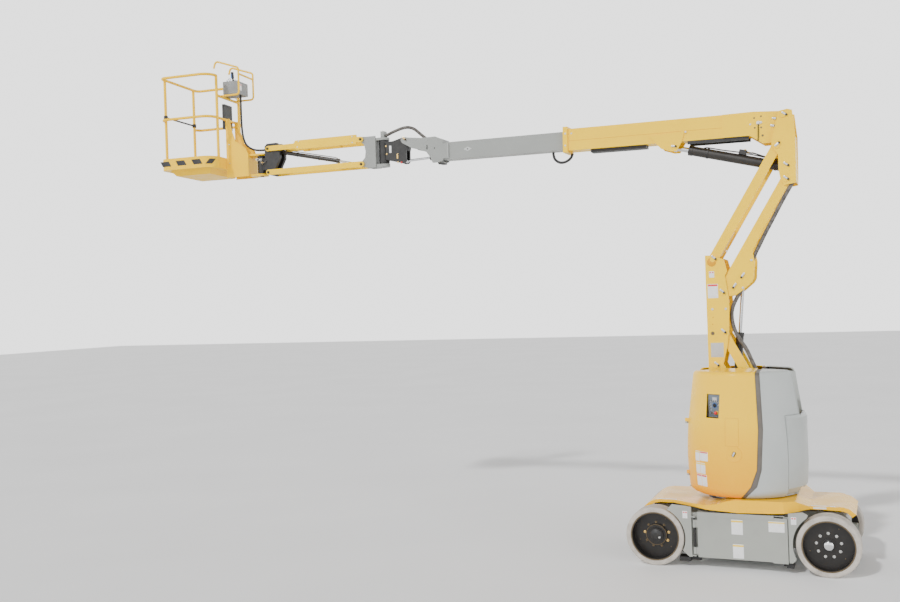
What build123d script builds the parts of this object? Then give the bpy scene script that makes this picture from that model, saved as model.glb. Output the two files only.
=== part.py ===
"""Articulating boom lift: self-propelled electric platform, built as separate pieces.

Frame while modelling: X = 0 is the slew axis, -X is the way the boom points, +Z up, floor at Z = 0.
export() then moves everything along X so that the origin is under the middle of the whole machine.
All lengths are millimetres.
"""
from build123d import *
import math
import os

os.makedirs("parts", exist_ok=True)

# ---------------------------------------------------------------- driving dimensions
# chassis and wheels
WHEELBASE = 1650.0
OVERALL_WIDTH = 1200.0
TYRE_DIA = 589.0
TYRE_WIDTH = 190.0
RIM_DIA = 488.0
RIM_WALL = 15.0
DRIVE_DISH = 110.0
STEER_DISH = 80.0
DISC_THICK = 14.0
SPINDLE_R = 30.0
KINGPIN_IN = 120.0
KINGPIN_R = 14.0
BEAM_HALF = 210.0
BEAM_X = (-930.0, 1010.0)
BEAM_Z = (170.0, 550.0)
BOX_X = (-400.0, 430.0)
BOX_Z = (115.0, 560.0)
BOX_WALL = 8.0
DOOR_X = (-392.0, 460.0)
DOOR_Z = (115.0, 565.0)
DECK_TOP = 632.0
DECK_SHEET = 6.0
DECK_HALF = 378.0
DECK_STEER_HALF = 340.0
APRON_TOP = 700.0
# turret
SLEW_RING_R = 330.0
TURRET_X = 30.0
TURRET_FLOOR = (708.0, 723.0)
CHEEK_Y = (182.0, 194.0)
SLOT_HALF = 200.0
HOOD_WALL = 8.0
FRONT_HINGE = (-540.0, 200.0)
HOOD_BELLY_R = 600.0
HOOD_TOP_R = 522.0
HOOD_TOP_Z = 1925.0
COUNTERWEIGHT_R = 632.0
COUNTERWEIGHT_TOP = 1510.0
# arm pins, (x, z)
LOWER_ANGLE = 62.5
UPPER_ANGLE = 59.1
LINK_LENGTH = 1297.0
MAST_PIN_LOW = (-225.0, 1998.0)
MAST_PIN_HIGH = (-145.0, 2337.0)
MAST_PIN_REAR = (-144.0, 2746.0)
MAST_PIN_FRONT = (-218.0, 3090.0)
ARM_CYL_FOOT = (-47.0, 1700.0)
ARM_CYL_EYE = (60.0, 2903.0)
PLATE_Y = (145.0, 160.0)
RAIL_Y = (117.0, 139.0)
LINK_HEIGHT = 96.0
LINK_PIN_R = 20.0
LINK_BOSS_R = 34.0
PIN_GAP = 0.3
STUB_IN = 6.0
# boom
BOOM_PIVOT = (518.0, 4504.0)
BOOM_TILT = 1.0
BOOM_CYL_FOOT = (519.0, 3995.0)
BOOM_CYL_EYE = (-1107.0, -225.0)
OUTER_HALF = 95.0
OUTER_W = (-176.0, 62.0)
OUTER_U = (-2300.0, -300.0)
OUTER_WALL = 8.0
TRAY_HALF = 60.0
TRAY_DEPTH = 34.0
CYLINDER_ROOM = 62.0
INNER_HALF = 80.0
INNER_W = (-163.0, 37.0)
INNER_U = (-3766.0, -1860.0)
INNER_WALL = 6.0
# jib
KNUCKLE_PIVOT = (-3752.0, 4687.0)
SWING_X = -4060.0
JIB_UR = (-4328.0, 4750.0)
JIB_LR = (-4327.0, 4451.0)
JIB_UL = (-5661.0, 4765.0)
JIB_LL = (-5660.0, 4466.0)
JIB_RAIL_Y = (85.0, 103.0)
JIB_CYL_FOOT = (-5575.0, 4732.0)
# cage
ROTATOR_OUT = 159.0
BLOCK_OUT = 61.0
CAGE_YAW = 6.0
CAGE_REACH = 820.0
CAGE_DEPTH = 760.0
CAGE_WIDTH = 900.0
CAGE_FLOOR_Z = 4545.0
TOE_HEIGHT = 145.0
CAGE_SHEET = 4.0
MID_RAIL_RISE = 645.0
TOP_RAIL_RISE = 1175.0
RAIL_R = 17.0
# hoses, each a sheathed bundle
ARM_HOSE_R = 20.0
TIP_HOSE_R = 18.0
CABLE_R = 13.0
HOSE_ARC_SHARE = 0.45

WHEEL_Z = TYRE_DIA / 2
WHEEL_Y = (OVERALL_WIDTH - TYRE_WIDTH) / 2
DRIVE_X = -WHEELBASE / 2
STEER_X = WHEELBASE / 2
KINGPIN_Y = WHEEL_Y - KINGPIN_IN
# what lies inside the overall width, from the outermost in
SIDE = OVERALL_WIDTH / 2
SIDE_PLATE_Y = (SIDE - 24.0, SIDE - 1.0)
APRON_R = SIDE - 2.0
DOOR_Y = (SIDE - 18.0, SIDE - 4.0)
DOOR_HINGE = (-425.0, SIDE - 10.0)
BOX_HALF = SIDE - 26.0
# what hangs from the jib's far pins
BLOCK_X = JIB_UL[0] - BLOCK_OUT
ROTATOR_X = JIB_UL[0] - ROTATOR_OUT
CAGE_MID_X = ROTATOR_X - CAGE_REACH
MID_RAIL_Z = CAGE_FLOOR_Z + MID_RAIL_RISE
TOP_RAIL_Z = CAGE_FLOOR_Z + TOP_RAIL_RISE


def along(pin, angle_deg, length):
    """The point at a distance from a pin, in the XZ plane."""
    a = math.radians(angle_deg)
    return (pin[0] + length * math.cos(a), pin[1] + length * math.sin(a))


TURRET_PIN_LOW = along(MAST_PIN_LOW, -LOWER_ANGLE, LINK_LENGTH)
TURRET_PIN_HIGH = along(MAST_PIN_HIGH, -LOWER_ANGLE, LINK_LENGTH)
COLUMN_PIN_REAR = along(MAST_PIN_REAR, UPPER_ANGLE, LINK_LENGTH)
COLUMN_PIN_FRONT = along(MAST_PIN_FRONT, UPPER_ANGLE, LINK_LENGTH)


# ---------------------------------------------------------------- small makers
def block(x0, x1, y0, y1, z0, z1):
    """A box between two corners."""
    middle = ((x0 + x1) / 2, (y0 + y1) / 2, (z0 + z1) / 2)
    return Pos(*middle) * Box(abs(x1 - x0), abs(y1 - y0), abs(z1 - z0))


def cyl_y(pin, r, y0, y1):
    """A cylinder along Y about a pin (x, z)."""
    return Pos(pin[0], (y0 + y1) / 2, pin[1]) * Rot(90, 0, 0) * Cylinder(r, abs(y1 - y0))


def cyl_z(x, y, r, z0, z1):
    """An upright cylinder."""
    return Pos(x, y, (z0 + z1) / 2) * Cylinder(r, abs(z1 - z0))


def rod(p, q, r):
    """A round bar from one point to another."""
    line = Vector(*q) - Vector(*p)
    base = Plane(origin=p, z_dir=line)
    return base * Cylinder(r, line.length, align=(Align.CENTER, Align.CENTER, Align.MIN))


def plate(points, y0, y1, radius=0.0):
    """A flat plate, its outline given in XZ, between two Y planes."""
    face = make_face(Polyline(*points, close=True))
    if radius:
        face = fillet(face.vertices(), radius)
    return Pos(0, y0, 0) * extrude(Plane.XZ * face, amount=-(y1 - y0))


def bar(p, q, height, y0, y1, extra=0.0):
    """A flat bar with round ends from pin to pin."""
    length = math.dist(p, q) + 2 * extra
    angle = math.degrees(math.atan2(q[1] - p[1], q[0] - p[0]))
    face = Pos((p[0] + q[0]) / 2, (p[1] + q[1]) / 2) * Rot(0, 0, angle) * SlotCenterToCenter(length, height)
    return Pos(0, y0, 0) * extrude(Plane.XZ * face, amount=-(y1 - y0))


def both(solid):
    """A solid and its mirror image across the XZ plane."""
    return solid + mirror(solid, about=Plane.XZ)


def other_side(solid):
    """The mirror image across the XZ plane."""
    return mirror(solid, about=Plane.XZ)


def tube(points, radius, bend):
    """A round tube along straight runs joined by arcs."""
    path = FilletPolyline(*points, radius=bend)
    return sweep(Plane(origin=path @ 0, z_dir=path % 0) * Circle(radius), path=path)


def hose(points, radius):
    """A hose through a few points: straight runs joined by arcs as large as the runs beside them allow."""
    places = [Vector(*p) for p in points]
    bends = []
    for before, here, after in zip(places, places[1:], places[2:]):
        turn = (here - before).get_angle(after - here)
        shorter = min((here - before).length, (after - here).length)
        bends.append(HOSE_ARC_SHARE * shorter / math.tan(math.radians(turn / 2)))
    path = FilletPolyline(*points, radius=bends)
    solid = sweep(Plane(origin=path @ 0, z_dir=path % 0) * Circle(radius), path=path)
    share = solid.volume / (math.pi * radius ** 2 * path.length)
    print("hose", round(path.length), "mm, radii", [round(b) for b in bends], "volume share", round(share, 4))
    return solid


def ear_bosses(pin, r, y_in, y_out, bore=0.0):
    """Two round bosses that stand inwards from a pair of plates, one each side."""
    boss = cyl_y(pin, r, y_in, y_out)
    if bore:
        boss -= cyl_y(pin, bore, y_in - 1, y_out + 1)
    return both(boss)


# ---------------------------------------------------------------- wheels
def tyre(x, side):
    """Solid tyre with rounded shoulders."""
    inner, outer = RIM_DIA / 2, TYRE_DIA / 2
    shoulder = 18.0
    face = Pos((inner + outer) / 2, 0) * Rectangle(outer - inner, TYRE_WIDTH)
    corners = face.vertices().sort_by(Axis.X)[-2:]
    body = revolve(fillet(corners, shoulder), axis=Axis.Y)
    return Pos(x, side * WHEEL_Y, WHEEL_Z) * body


def rim(x, side, dish, hub):
    """Dished disc wheel; hub lists (radius, height) of the steps that stand out of the disc."""
    outer, lip = RIM_DIA / 2, 5.0
    boss_r, boss_len, bore_depth = 75.0, 22.0, 8.0
    face = TYRE_WIDTH / 2
    barrel = Pos((2 * outer - RIM_WALL) / 2, 0) * Rectangle(RIM_WALL, TYRE_WIDTH - 2 * lip)
    disc_mid = face - dish - DISC_THICK / 2
    disc = Pos(outer / 2, disc_mid) * Rectangle(outer, DISC_THICK)
    profile = barrel + disc
    base = face - dish - DISC_THICK
    profile += Pos(boss_r / 2, base - boss_len / 2) * Rectangle(boss_r, boss_len)
    top = face - dish
    for radius, height in hub:
        profile += Pos(radius / 2, top + height / 2) * Rectangle(radius, height)
        top += height
    solid = revolve(profile, axis=Axis.Y)
    bore_end = base + bore_depth
    bore = Pos(0, (bore_end + base - boss_len) / 2, 0) * Rot(90, 0, 0) * Cylinder(
        SPINDLE_R + PIN_GAP, bore_end - base + boss_len)
    solid -= bore
    if side < 0:
        solid = mirror(solid, about=Plane.XZ)
    return Pos(x, side * WHEEL_Y, WHEEL_Z) * solid


DRIVE_HUB = [(105.0, 26.0), (70.0, 18.0)]
STEER_HUB = [(62.0, 8.0), (48.0, 22.0)]


def spindle_end(dish):
    """How far out the spindle reaches: it stops short of the bottom of the rim's bore."""
    return SIDE - dish - DISC_THICK + 4.0


# ---------------------------------------------------------------- steering
FORK_LOW = (176.0, 206.0)
FORK_HIGH = (384.0, 414.0)
KNUCKLE_Z = (212.0, 378.0)
STEER_ARM = 115.0
STEER_ARM_Z = (236.0, 250.0)
TIE_ROD_R = 11.0


def knuckle(side):
    """Steering knuckle: upright barrel, stub axle and the arm that the tie rod pulls."""
    y = side * KINGPIN_Y
    barrel_r = 34.0
    body = cyl_z(STEER_X, y, barrel_r, *KNUCKLE_Z)
    flange_y = side * (KINGPIN_Y + 42.0)
    body += cyl_y((STEER_X, WHEEL_Z), 52.0, y, flange_y)
    body += cyl_y((STEER_X, WHEEL_Z), SPINDLE_R, y, side * spindle_end(STEER_DISH))
    arm_tip = STEER_X - STEER_ARM
    body += block(arm_tip, STEER_X, y - 18, y + 18, *STEER_ARM_Z)
    body += cyl_z(arm_tip, y, 22.0, *STEER_ARM_Z)
    return body - cyl_z(STEER_X, y, KINGPIN_R + PIN_GAP, KNUCKLE_Z[0] - 1, KNUCKLE_Z[1] + 1)


def tie_rod():
    """Track rod between the two steering arms, its pads just under them."""
    x = STEER_X - STEER_ARM
    top = STEER_ARM_Z[0] - PIN_GAP
    pad = 24.0
    body = rod((x, -KINGPIN_Y, top - pad / 2), (x, KINGPIN_Y, top - pad / 2), TIE_ROD_R)
    for side in (-1, 1):
        body += cyl_z(x, side * KINGPIN_Y, 22.0, top - pad, top)
    return body


# ---------------------------------------------------------------- chassis
def chassis_frame():
    """Centre beam, axles, the two tray boxes between the wheels and the plates beside them."""
    x0, x1 = BEAM_X
    z0, z1 = BEAM_Z
    chamfer_x, chamfer_z = 70.0, 70.0
    beam = plate([(x0, z0 + chamfer_z), (x0 + chamfer_x, z0), (x1 - chamfer_x, z0), (x1, z0 + chamfer_z),
                  (x1, z1 - chamfer_z), (x1 - chamfer_x, z1), (x0 + chamfer_x, z1), (x0, z1 - chamfer_z)],
                 -BEAM_HALF, BEAM_HALF)
    # the track rod passes through a window in the beam
    rod_x = STEER_X - STEER_ARM
    beam -= block(rod_x - 45, rod_x + 45, -BEAM_HALF - 1, BEAM_HALF + 1, STEER_ARM_Z[0] - 40, STEER_ARM_Z[1] + 20)
    frame = beam
    # tray boxes, open on the door side
    tray = block(BOX_X[0], BOX_X[1], BEAM_HALF - 2, BOX_HALF, *BOX_Z)
    tray -= block(BOX_X[0] + BOX_WALL, BOX_X[1] - BOX_WALL, BEAM_HALF - 2, BOX_HALF + 1,
                  BOX_Z[0] + BOX_WALL, BOX_Z[1] - BOX_WALL)
    # wheel side plates
    clear = 14.0
    reach = TYRE_DIA / 2 + clear
    left = plate([(-453, 610), (-645, 627), (-690, 577), (-640, 470), (-537, 165), (-481, 114), (-453, 114)],
                 *SIDE_PLATE_Y)
    left -= cyl_y((DRIVE_X, WHEEL_Z), reach, SIDE_PLATE_Y[0] - 1, SIDE_PLATE_Y[1] + 1)
    right = plate([(469, 592), (595, 611), (648, 584), (600, 470), (528, 147), (500, 116), (469, 116)],
                  *SIDE_PLATE_Y)
    right -= cyl_y((STEER_X, WHEEL_Z), reach + 14.0, SIDE_PLATE_Y[0] - 1, SIDE_PLATE_Y[1] + 1)
    tab_y = (BOX_HALF - 20, BOX_HALF - 8)
    tabs = block(-500, BOX_X[0] + BOX_WALL, *tab_y, 122, 552)
    tabs += block(-500, -462, tab_y[0], SIDE_PLATE_Y[0] + 1, 122, 552)
    tabs += block(BOX_X[1] - BOX_WALL, 500, *tab_y, 122, 552)
    tabs += block(472, 500, tab_y[0], SIDE_PLATE_Y[0] + 1, 122, 552)
    tabs -= cyl_y((STEER_X, WHEEL_Z), reach + 20.0, tab_y[0] - 1, SIDE)
    # hinge ears for the door
    ears = Part()
    for z in (508.0, 122.0):
        ears += block(-470, DOOR_HINGE[0], DOOR_HINGE[1] - 12, DOOR_HINGE[1] + 8, z, z + 12)
        ears += cyl_z(DOOR_HINGE[0], DOOR_HINGE[1], 14.0, z, z + 12)
    frame += both(tray + left + right + tabs + ears)
    # drive end: motor housings and fixed spindles
    motor_end = spindle_end(DRIVE_DISH) - 40.0
    drive = cyl_y((DRIVE_X, WHEEL_Z), 92.0, BEAM_HALF - 5, motor_end)
    drive += cyl_y((DRIVE_X, WHEEL_Z), SPINDLE_R, motor_end - 10, spindle_end(DRIVE_DISH))
    frame += both(drive)
    # steer end: beam axle with forks and kingpins
    axle_end = KINGPIN_Y - 85.0
    axle = block(STEER_X - 58, STEER_X + 58, BEAM_HALF - 5, axle_end, FORK_LOW[0], FORK_HIGH[1])
    for fork in (FORK_LOW, FORK_HIGH):
        axle += block(STEER_X - 34, STEER_X + 34, axle_end - 5, KINGPIN_Y, *fork)
        axle += cyl_z(STEER_X, KINGPIN_Y, 34.0, *fork)
    axle += cyl_z(STEER_X, KINGPIN_Y, KINGPIN_R, FORK_LOW[0], FORK_HIGH[1])
    frame += both(axle)
    # tie-down pockets at the four corners of the beam: a wall with a hole, open behind and above
    for x, way in ((x0, -1), (x1, 1)):
        end = x + way * TIE_DOWN_OUT
        pocket = block(x - way * 25, end, *TIE_DOWN_Y, TIE_DOWN_Z - 38, TIE_DOWN_Z + 38)
        pocket -= block(x - way * 26, end - way * TIE_DOWN_WALL, TIE_DOWN_Y[0] + 12, TIE_DOWN_Y[1] - 12,
                        TIE_DOWN_Z - 26, TIE_DOWN_Z + 39)
        frame += both(pocket)
        hole = Pos(end - way * TIE_DOWN_WALL / 2, sum(TIE_DOWN_Y) / 2, TIE_DOWN_Z) * Rot(0, 90, 0) * Cylinder(
            TIE_DOWN_R, TIE_DOWN_WALL + 40)
        frame -= both(hole)
    # posts that the deck cover sits on
    for x in (-760.0, 760.0):
        for y in (-150.0, 150.0):
            frame += cyl_z(x, y, 16.0, z1 - 2, DECK_TOP - DECK_SHEET)
    # pedestal of the slew ring
    frame += cyl_z(0, 0, SLEW_RING_R - 10, z1 - 2, z1 + 20)
    return frame


TIE_DOWN_OUT = 62.0
TIE_DOWN_WALL = 16.0
TIE_DOWN_Y = (118.0, 198.0)
TIE_DOWN_Z = 330.0
TIE_DOWN_R = 17.0


def slew_ring():
    """Fixed race of the slewing bearing."""
    z = BEAM_Z[1] + 20
    return cyl_z(0, 0, SLEW_RING_R, z, z + 70) - cyl_z(0, 0, SLEW_RING_R - 90, z - 1, z + 71)


def batteries():
    """Battery packs in the two tray boxes."""
    base = BOX_Z[0] + BOX_WALL
    pack = block(BOX_X[0] + 40, BOX_X[1] - 50, BEAM_HALF + 8, BOX_HALF - 14, base, base + 340)
    return both(pack)


def pothole_guards():
    """Low guard blocks behind the wheels, under the corners of the tray boxes."""
    pads = Part()
    for x0, x1 in ((-590.0, -478.0), (440.0, 506.0)):
        pads += block(x0, x1, BOX_HALF - 134, BOX_HALF - 14, 58, 100)
    arm_y = (BOX_HALF - 94, BOX_HALF - 54)
    arms = block(-478, BOX_X[0] + 20, *arm_y, 66, BOX_Z[0])
    arms += block(BOX_X[1] - 20, 445, *arm_y, 66, BOX_Z[0])
    return both(pads + arms)


def hinge_rods():
    """Upright hinge pins of the two side doors, with the dark sleeve between the knuckles."""
    x, y = DOOR_HINGE
    pin = cyl_z(x, y, 8.0, 134, 508)
    return both(pin + cyl_z(x, y, 13.0, 222, 402))


def side_door():
    """Pressed door over a battery tray, with its folded top lip and two hinge knuckles (the +Y one)."""
    x0, x1 = DOOR_X
    y0, y1 = DOOR_Y
    z0, z1 = DOOR_Z
    door = plate([(x0, z0), (x0, z1), (336, z1), (336, z1 - 22), (x1, z1 - 26), (x1, z0 - 10),
                  (322, z0 - 10), (312, z0)], y0, y1)
    door += block(x0, 334, y1, y1 + 4, z1 - 46, z1)
    for z in ((410.0, 486.0), (144.0, 212.0)):
        door += block(DOOR_HINGE[0], x0 + 10, y0, y1, *z)
        door += cyl_z(*DOOR_HINGE, 16.0, *z)
        door -= cyl_z(*DOOR_HINGE, 8.0 + PIN_GAP, z[0] - 1, z[1] + 1)
    return door


def deck_cover():
    """Moulded cover over the chassis beam, widening to a round apron under the turret."""
    top = [(-975, 545), (-930, 590), (-870, 622), (-800, DECK_TOP), (-330, DECK_TOP), (-200, 650), (-110, 682),
           (-20, APRON_TOP), (530, APRON_TOP), (650, DECK_TOP), (930, DECK_TOP), (1010, 610), (1072, 560)]
    low = [(1034, 530), (990, 575), (915, 596), (760, 602), (600, 602), (472, 590), (300, 580), (0, 574),
           (-200, 584), (-446, 600), (-620, 602), (-800, 602), (-860, 592), (-905, 566), (-940, 530)]
    outer = plate(top + low, -620, 620)
    under = [(x, z - DECK_SHEET) for x, z in top[1:-1]]
    inside = plate(under + [(1010, 500), (-930, 500)], -700, 700)
    plan = [(-990, DECK_HALF), (-660, DECK_HALF), (-430, SIDE - 80), (-300, SIDE - 10), (430, SIDE - 10),
            (560, SIDE - 95), (660, DECK_HALF),
            (900, DECK_HALF), (960, DECK_STEER_HALF), (1090, DECK_STEER_HALF)]

    def footprint(inset):
        pts = [(x, y - inset) for x, y in plan]
        face = make_face(Polyline(*(pts + [(x, -y) for x, y in reversed(pts)]), close=True))
        face += Circle(APRON_R - inset)
        return Pos(0, 0, 480) * extrude(face, amount=300)

    cover = (outer & footprint(0.0)) - (inside & footprint(DECK_SHEET))
    return cover - cyl_z(0, 0, SLEW_RING_R + 30, 400, 800)


# ---------------------------------------------------------------- turret
def hood_solid(inset, z_low):
    """The barrel shape of the covers, pulled in by inset; a body of revolution."""
    belly, top_r = HOOD_BELLY_R - inset, HOOD_TOP_R - inset
    foot = (532.0 - inset, TURRET_FLOOR[0])
    crown = HOOD_TOP_Z + 58 - inset
    start = [foot] if z_low == foot[1] else [foot, (foot[0], z_low)]
    edges = [Polyline(*start, (0, z_low), (0, crown), (top_r - 45, crown - 33)),
             ThreePointArc((top_r - 45, crown - 33), (top_r - 12, crown - 46), (top_r, HOOD_TOP_Z - 12)),
             Line((top_r, HOOD_TOP_Z - 12), (belly - 26, 1500)),
             ThreePointArc((belly - 26, 1500), (belly, 1100), (belly - 12, 800)),
             ThreePointArc((belly - 12, 800), (belly - 32, 738), foot)]
    return Pos(TURRET_X, 0, 0) * revolve(Plane.XZ * make_face(edges), axis=Axis.Z)


SEAM = [(23, 700), (130, 830), (192, 996), (214, 1386), (191, 2000)]
BAND = [(60, 700), (190, 830), (238, 996), (262, 1386), (236, 2000)]


def front_of(line, x_far):
    """Everything in front of (or, with x_far > 0, behind) a line drawn in side view."""
    return plate(line + [(x_far, line[-1][1]), (x_far, line[0][1])], -800, 800)


def hood_shell():
    """Both covers before they are cut apart: a hollow barrel with the arm slot through its middle."""
    shell = hood_solid(0.0, TURRET_FLOOR[0]) - hood_solid(HOOD_WALL, TURRET_FLOOR[0] - 20)
    return shell - block(-800, 800, -SLOT_HALF, SLOT_HALF, 600, 2100)


def rear_sector(r, z0, z1, half_angle):
    """A pie slice behind the slew axis."""
    a = math.radians(half_angle)
    pts = [(TURRET_X, 0), (TURRET_X + r * math.cos(a), -r * math.sin(a)), (TURRET_X + r * 1.3, 0),
           (TURRET_X + r * math.cos(a), r * math.sin(a))]
    return Pos(0, 0, z0) * extrude(make_face(Polyline(*pts, close=True)), amount=z1 - z0)


CW_HALF_ANGLE = 42.0


def counterweight():
    """Cast tail weight that closes the back of the turret below the latch ledge."""
    z0, z1 = 735.0, COUNTERWEIGHT_TOP
    r = COUNTERWEIGHT_R - TURRET_X
    outer = Pos(TURRET_X, 0, 0) * revolve(
        Plane.XZ * make_face(Polyline((330, TURRET_FLOOR[1]), (505, TURRET_FLOOR[1]), (r - 60, z0), (r - 12, z0 + 60),
                                      (r, z0 + 300), (r, z1 - 30), (r - 22, z1), (330, z1), close=True)), axis=Axis.Z)
    body = outer & rear_sector(900, z0 - 20, z1 + 10, CW_HALF_ANGLE)
    return body - block(-200, 585, -SLOT_HALF, SLOT_HALF, z0 - 20, z1 + 20)


PANEL_AZIMUTH = -116.6
COVER_HINGE_Z = (860.0, 1400.0)


def front_cover_left():
    """Yellow door of the turret on the -Y side, with the window over the ground controls."""
    door = other_side(front_cover_right())
    window = Pos(TURRET_X, 0, 1612) * Rot(0, 0, PANEL_AZIMUTH) * Pos(560, 0, 0) * Box(140, 150, 236)
    return door - window


def front_cover_right():
    """Yellow door of the turret on the +Y side."""
    door = (hood_shell() & front_of(SEAM, -900)) & block(-900, 900, SLOT_HALF, 900, 600, 2100)
    x, y = FRONT_HINGE
    for z in COVER_HINGE_Z:
        door -= block(x - 20, x + 22, y - 5, y + 18, z - 3, z + 58)
        door += block(x, x + 30, y, y + 12, z + 20.3, z + 55) + cyl_z(x, y, 13.0, z + 20.3, z + 55)
        door -= cyl_z(x, y, 7.0 + PIN_GAP, z, z + 60)
    return door


def rear_cover(side):
    """Grey cover behind the seam, cut back round the tail weight."""
    shell = hood_shell() & front_of(BAND, 900)
    flange = cyl_z(TURRET_X, 0, 527, TURRET_FLOOR[1], TURRET_FLOOR[1] + 8) - cyl_z(TURRET_X, 0, 480, 700, 800)
    shell += flange & front_of(BAND, 900)
    shell -= rear_sector(900, 600, COUNTERWEIGHT_TOP + 3, CW_HALF_ANGLE + 0.5)
    if side < 0:
        return shell & block(-900, 900, -900, -SLOT_HALF, 600, 2100)
    return shell & block(-900, 900, SLOT_HALF, 900, 600, 2100)


def seam_bands():
    """Sealing bands between the covers, one on each side, set back a little from both covers."""
    back, gap = 9.0, 1.0
    shell = hood_solid(back, TURRET_FLOOR[0]) - hood_solid(back + 10, TURRET_FLOOR[0] - 20)
    between = front_of([(x + gap, z) for x, z in SEAM], 900) - front_of(BAND, 900)
    return (shell & between) - block(-900, 900, -SLOT_HALF, SLOT_HALF, 600, 2100)


def turret_frame():
    """Turntable: neck on the slew ring, floor, and the two cheeks that carry the arm."""
    ring_top = BEAM_Z[1] + 90
    body = cyl_z(0, 0, SLEW_RING_R - 20, ring_top + PIN_GAP, TURRET_FLOOR[1])
    body += cyl_z(TURRET_X, 0, 512.0, *TURRET_FLOOR)
    cheek = plate([(-470, 710), (540, 710), (575, 900), (575, 1500), (520, 1905), (300, 1930), (-360, 1880),
                   (-470, 1500)], *CHEEK_Y)
    bosses = Part()
    x, y = FRONT_HINGE
    for z in COVER_HINGE_Z:
        bosses += block(x, -465, CHEEK_Y[0], CHEEK_Y[1], z, z + 20) + cyl_z(x, y, 13.0, z, z + 20)
        bosses += cyl_z(x, y, 7.0, z, z + 55)
    for pin in (TURRET_PIN_LOW, TURRET_PIN_HIGH):
        bosses += cyl_y(pin, LINK_BOSS_R + 6, RAIL_Y[1] + 3, CHEEK_Y[0])
        bosses += cyl_y(pin, LINK_PIN_R, 0, CHEEK_Y[0])
    return body + both(cheek + bosses)


def ground_controls():
    """Housing of the ground control panel, carried by the left cheek."""
    housing = Pos(TURRET_X, 0, 1612) * Rot(0, 0, PANEL_AZIMUTH) * Pos(450, 0, 0) * Box(150, 142, 228)
    bracket = block(-150, -60, -400, -CHEEK_Y[1], 1560, 1660)
    return housing + bracket


# ---------------------------------------------------------------- arms
def rails(p, q, height, ties=(), open_end=False):
    """Two side bars from pin to pin, with pin tubes at the ends and cross tubes between.

    With open_end the far end has no tube across, so that a cylinder can swing past it.
    """
    solid = both(bar(p, q, height, *RAIL_Y))
    for pin in (p,) if open_end else (p, q):
        solid += cyl_y(pin, LINK_BOSS_R, -RAIL_Y[1], RAIL_Y[1])
    for share in ties:
        at = (p[0] + share * (q[0] - p[0]), p[1] + share * (q[1] - p[1]))
        solid += cyl_y(at, 24.0, -RAIL_Y[1], RAIL_Y[1])
    for pin in (p, q):
        solid -= cyl_y(pin, LINK_PIN_R + PIN_GAP, -RAIL_Y[1] - 1, RAIL_Y[1] + 1)
    return solid


def lower_link_high():
    """Upper bar pair of the lower parallelogram."""
    return rails(TURRET_PIN_HIGH, MAST_PIN_HIGH, LINK_HEIGHT, ties=(0.3, 0.6))


def lower_link_low():
    """Lower bar pair of the lower parallelogram; carries the foot of the arm cylinder."""
    solid = rails(TURRET_PIN_LOW, MAST_PIN_LOW, LINK_HEIGHT, ties=(0.3, 0.5))
    return solid + cyl_y(ARM_CYL_FOOT, 19.7, -RAIL_Y[1], RAIL_Y[1])


MAST_OUTLINE = [(-297, 3133), (-225, 3130), (-110, 3085), (-79, 2964), (-103, 2915), (-74, 2702), (-69, 2597),
                (-80, 2359), (-101, 2194), (-148, 2011), (-102, 1924), (-281, 1934), (-298, 1957)]


def plates_with_pins(outline, web, pins, stub_pins=()):
    """A pair of side plates, a web that joins them and the pins that they hold: through pins and stub pins."""
    solid = both(plate(outline, *PLATE_Y)) + web
    for pin in pins + stub_pins:
        inner = RAIL_Y[0] - STUB_IN if pin in stub_pins else -PLATE_Y[1]
        solid += both(cyl_y(pin, LINK_PIN_R, inner, PLATE_Y[1]))
        solid += both(cyl_y(pin, LINK_PIN_R + 8, PLATE_Y[1], PLATE_Y[1] + 8))
        solid += both(cyl_y(pin, LINK_BOSS_R, RAIL_Y[1] + 2, PLATE_Y[0]))
    return solid


def mast():
    """Upright between the two parallelograms: side plates, front web and four through pins."""
    web = block(-298, -286, -PLATE_Y[0], PLATE_Y[0], 1960, 3130)
    return plates_with_pins(MAST_OUTLINE, web, (MAST_PIN_LOW, MAST_PIN_HIGH, MAST_PIN_REAR, MAST_PIN_FRONT))


BRACKET_OUTLINE = [(-144, 2700), (-80, 2702), (0, 2713), (73, 2766), (155, 2835), (181, 2880), (193, 3052),
                   (175, 3159), (264, 3318), (190, 3388), (-40, 3000), (-130, 2790)]


def upper_link_rear():
    """Rear bar pair of the upper parallelogram, with the plates that take the arm cylinder's rod eye."""
    solid = rails(MAST_PIN_REAR, COLUMN_PIN_REAR, LINK_HEIGHT, ties=(0.5, 0.8))
    solid += both(plate(BRACKET_OUTLINE, *RAIL_Y))
    for pin in (MAST_PIN_REAR,):
        solid -= cyl_y(pin, LINK_PIN_R + PIN_GAP, -RAIL_Y[1] - 1, RAIL_Y[1] + 1)
    return solid + ear_bosses(ARM_CYL_EYE, 32.0, 43.0, RAIL_Y[0] + 1)


def upper_link_front():
    """Front bar pair of the upper parallelogram, boxed in near the mast."""
    p, q = MAST_PIN_FRONT, COLUMN_PIN_FRONT
    solid = rails(p, q, LINK_HEIGHT, open_end=True)
    low = along((0, 0), UPPER_ANGLE - 90, 12)
    a, b = along(p, UPPER_ANGLE, 60), along(p, UPPER_ANGLE, 330)
    a, b = (a[0] + low[0], a[1] + low[1]), (b[0] + low[0], b[1] + low[1])
    return solid + bar(a, b, 46.0, -RAIL_Y[0] - 1, RAIL_Y[0] + 1)


COLUMN_OUTLINE = [(478, 4546), (560, 4560), (606, 4545), (628, 4300), (622, 3900), (618, 3815), (503, 3800),
                  (473, 3869), (458, 3957), (458, 4110), (399, 4200), (399, 4250), (458, 4477)]


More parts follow.
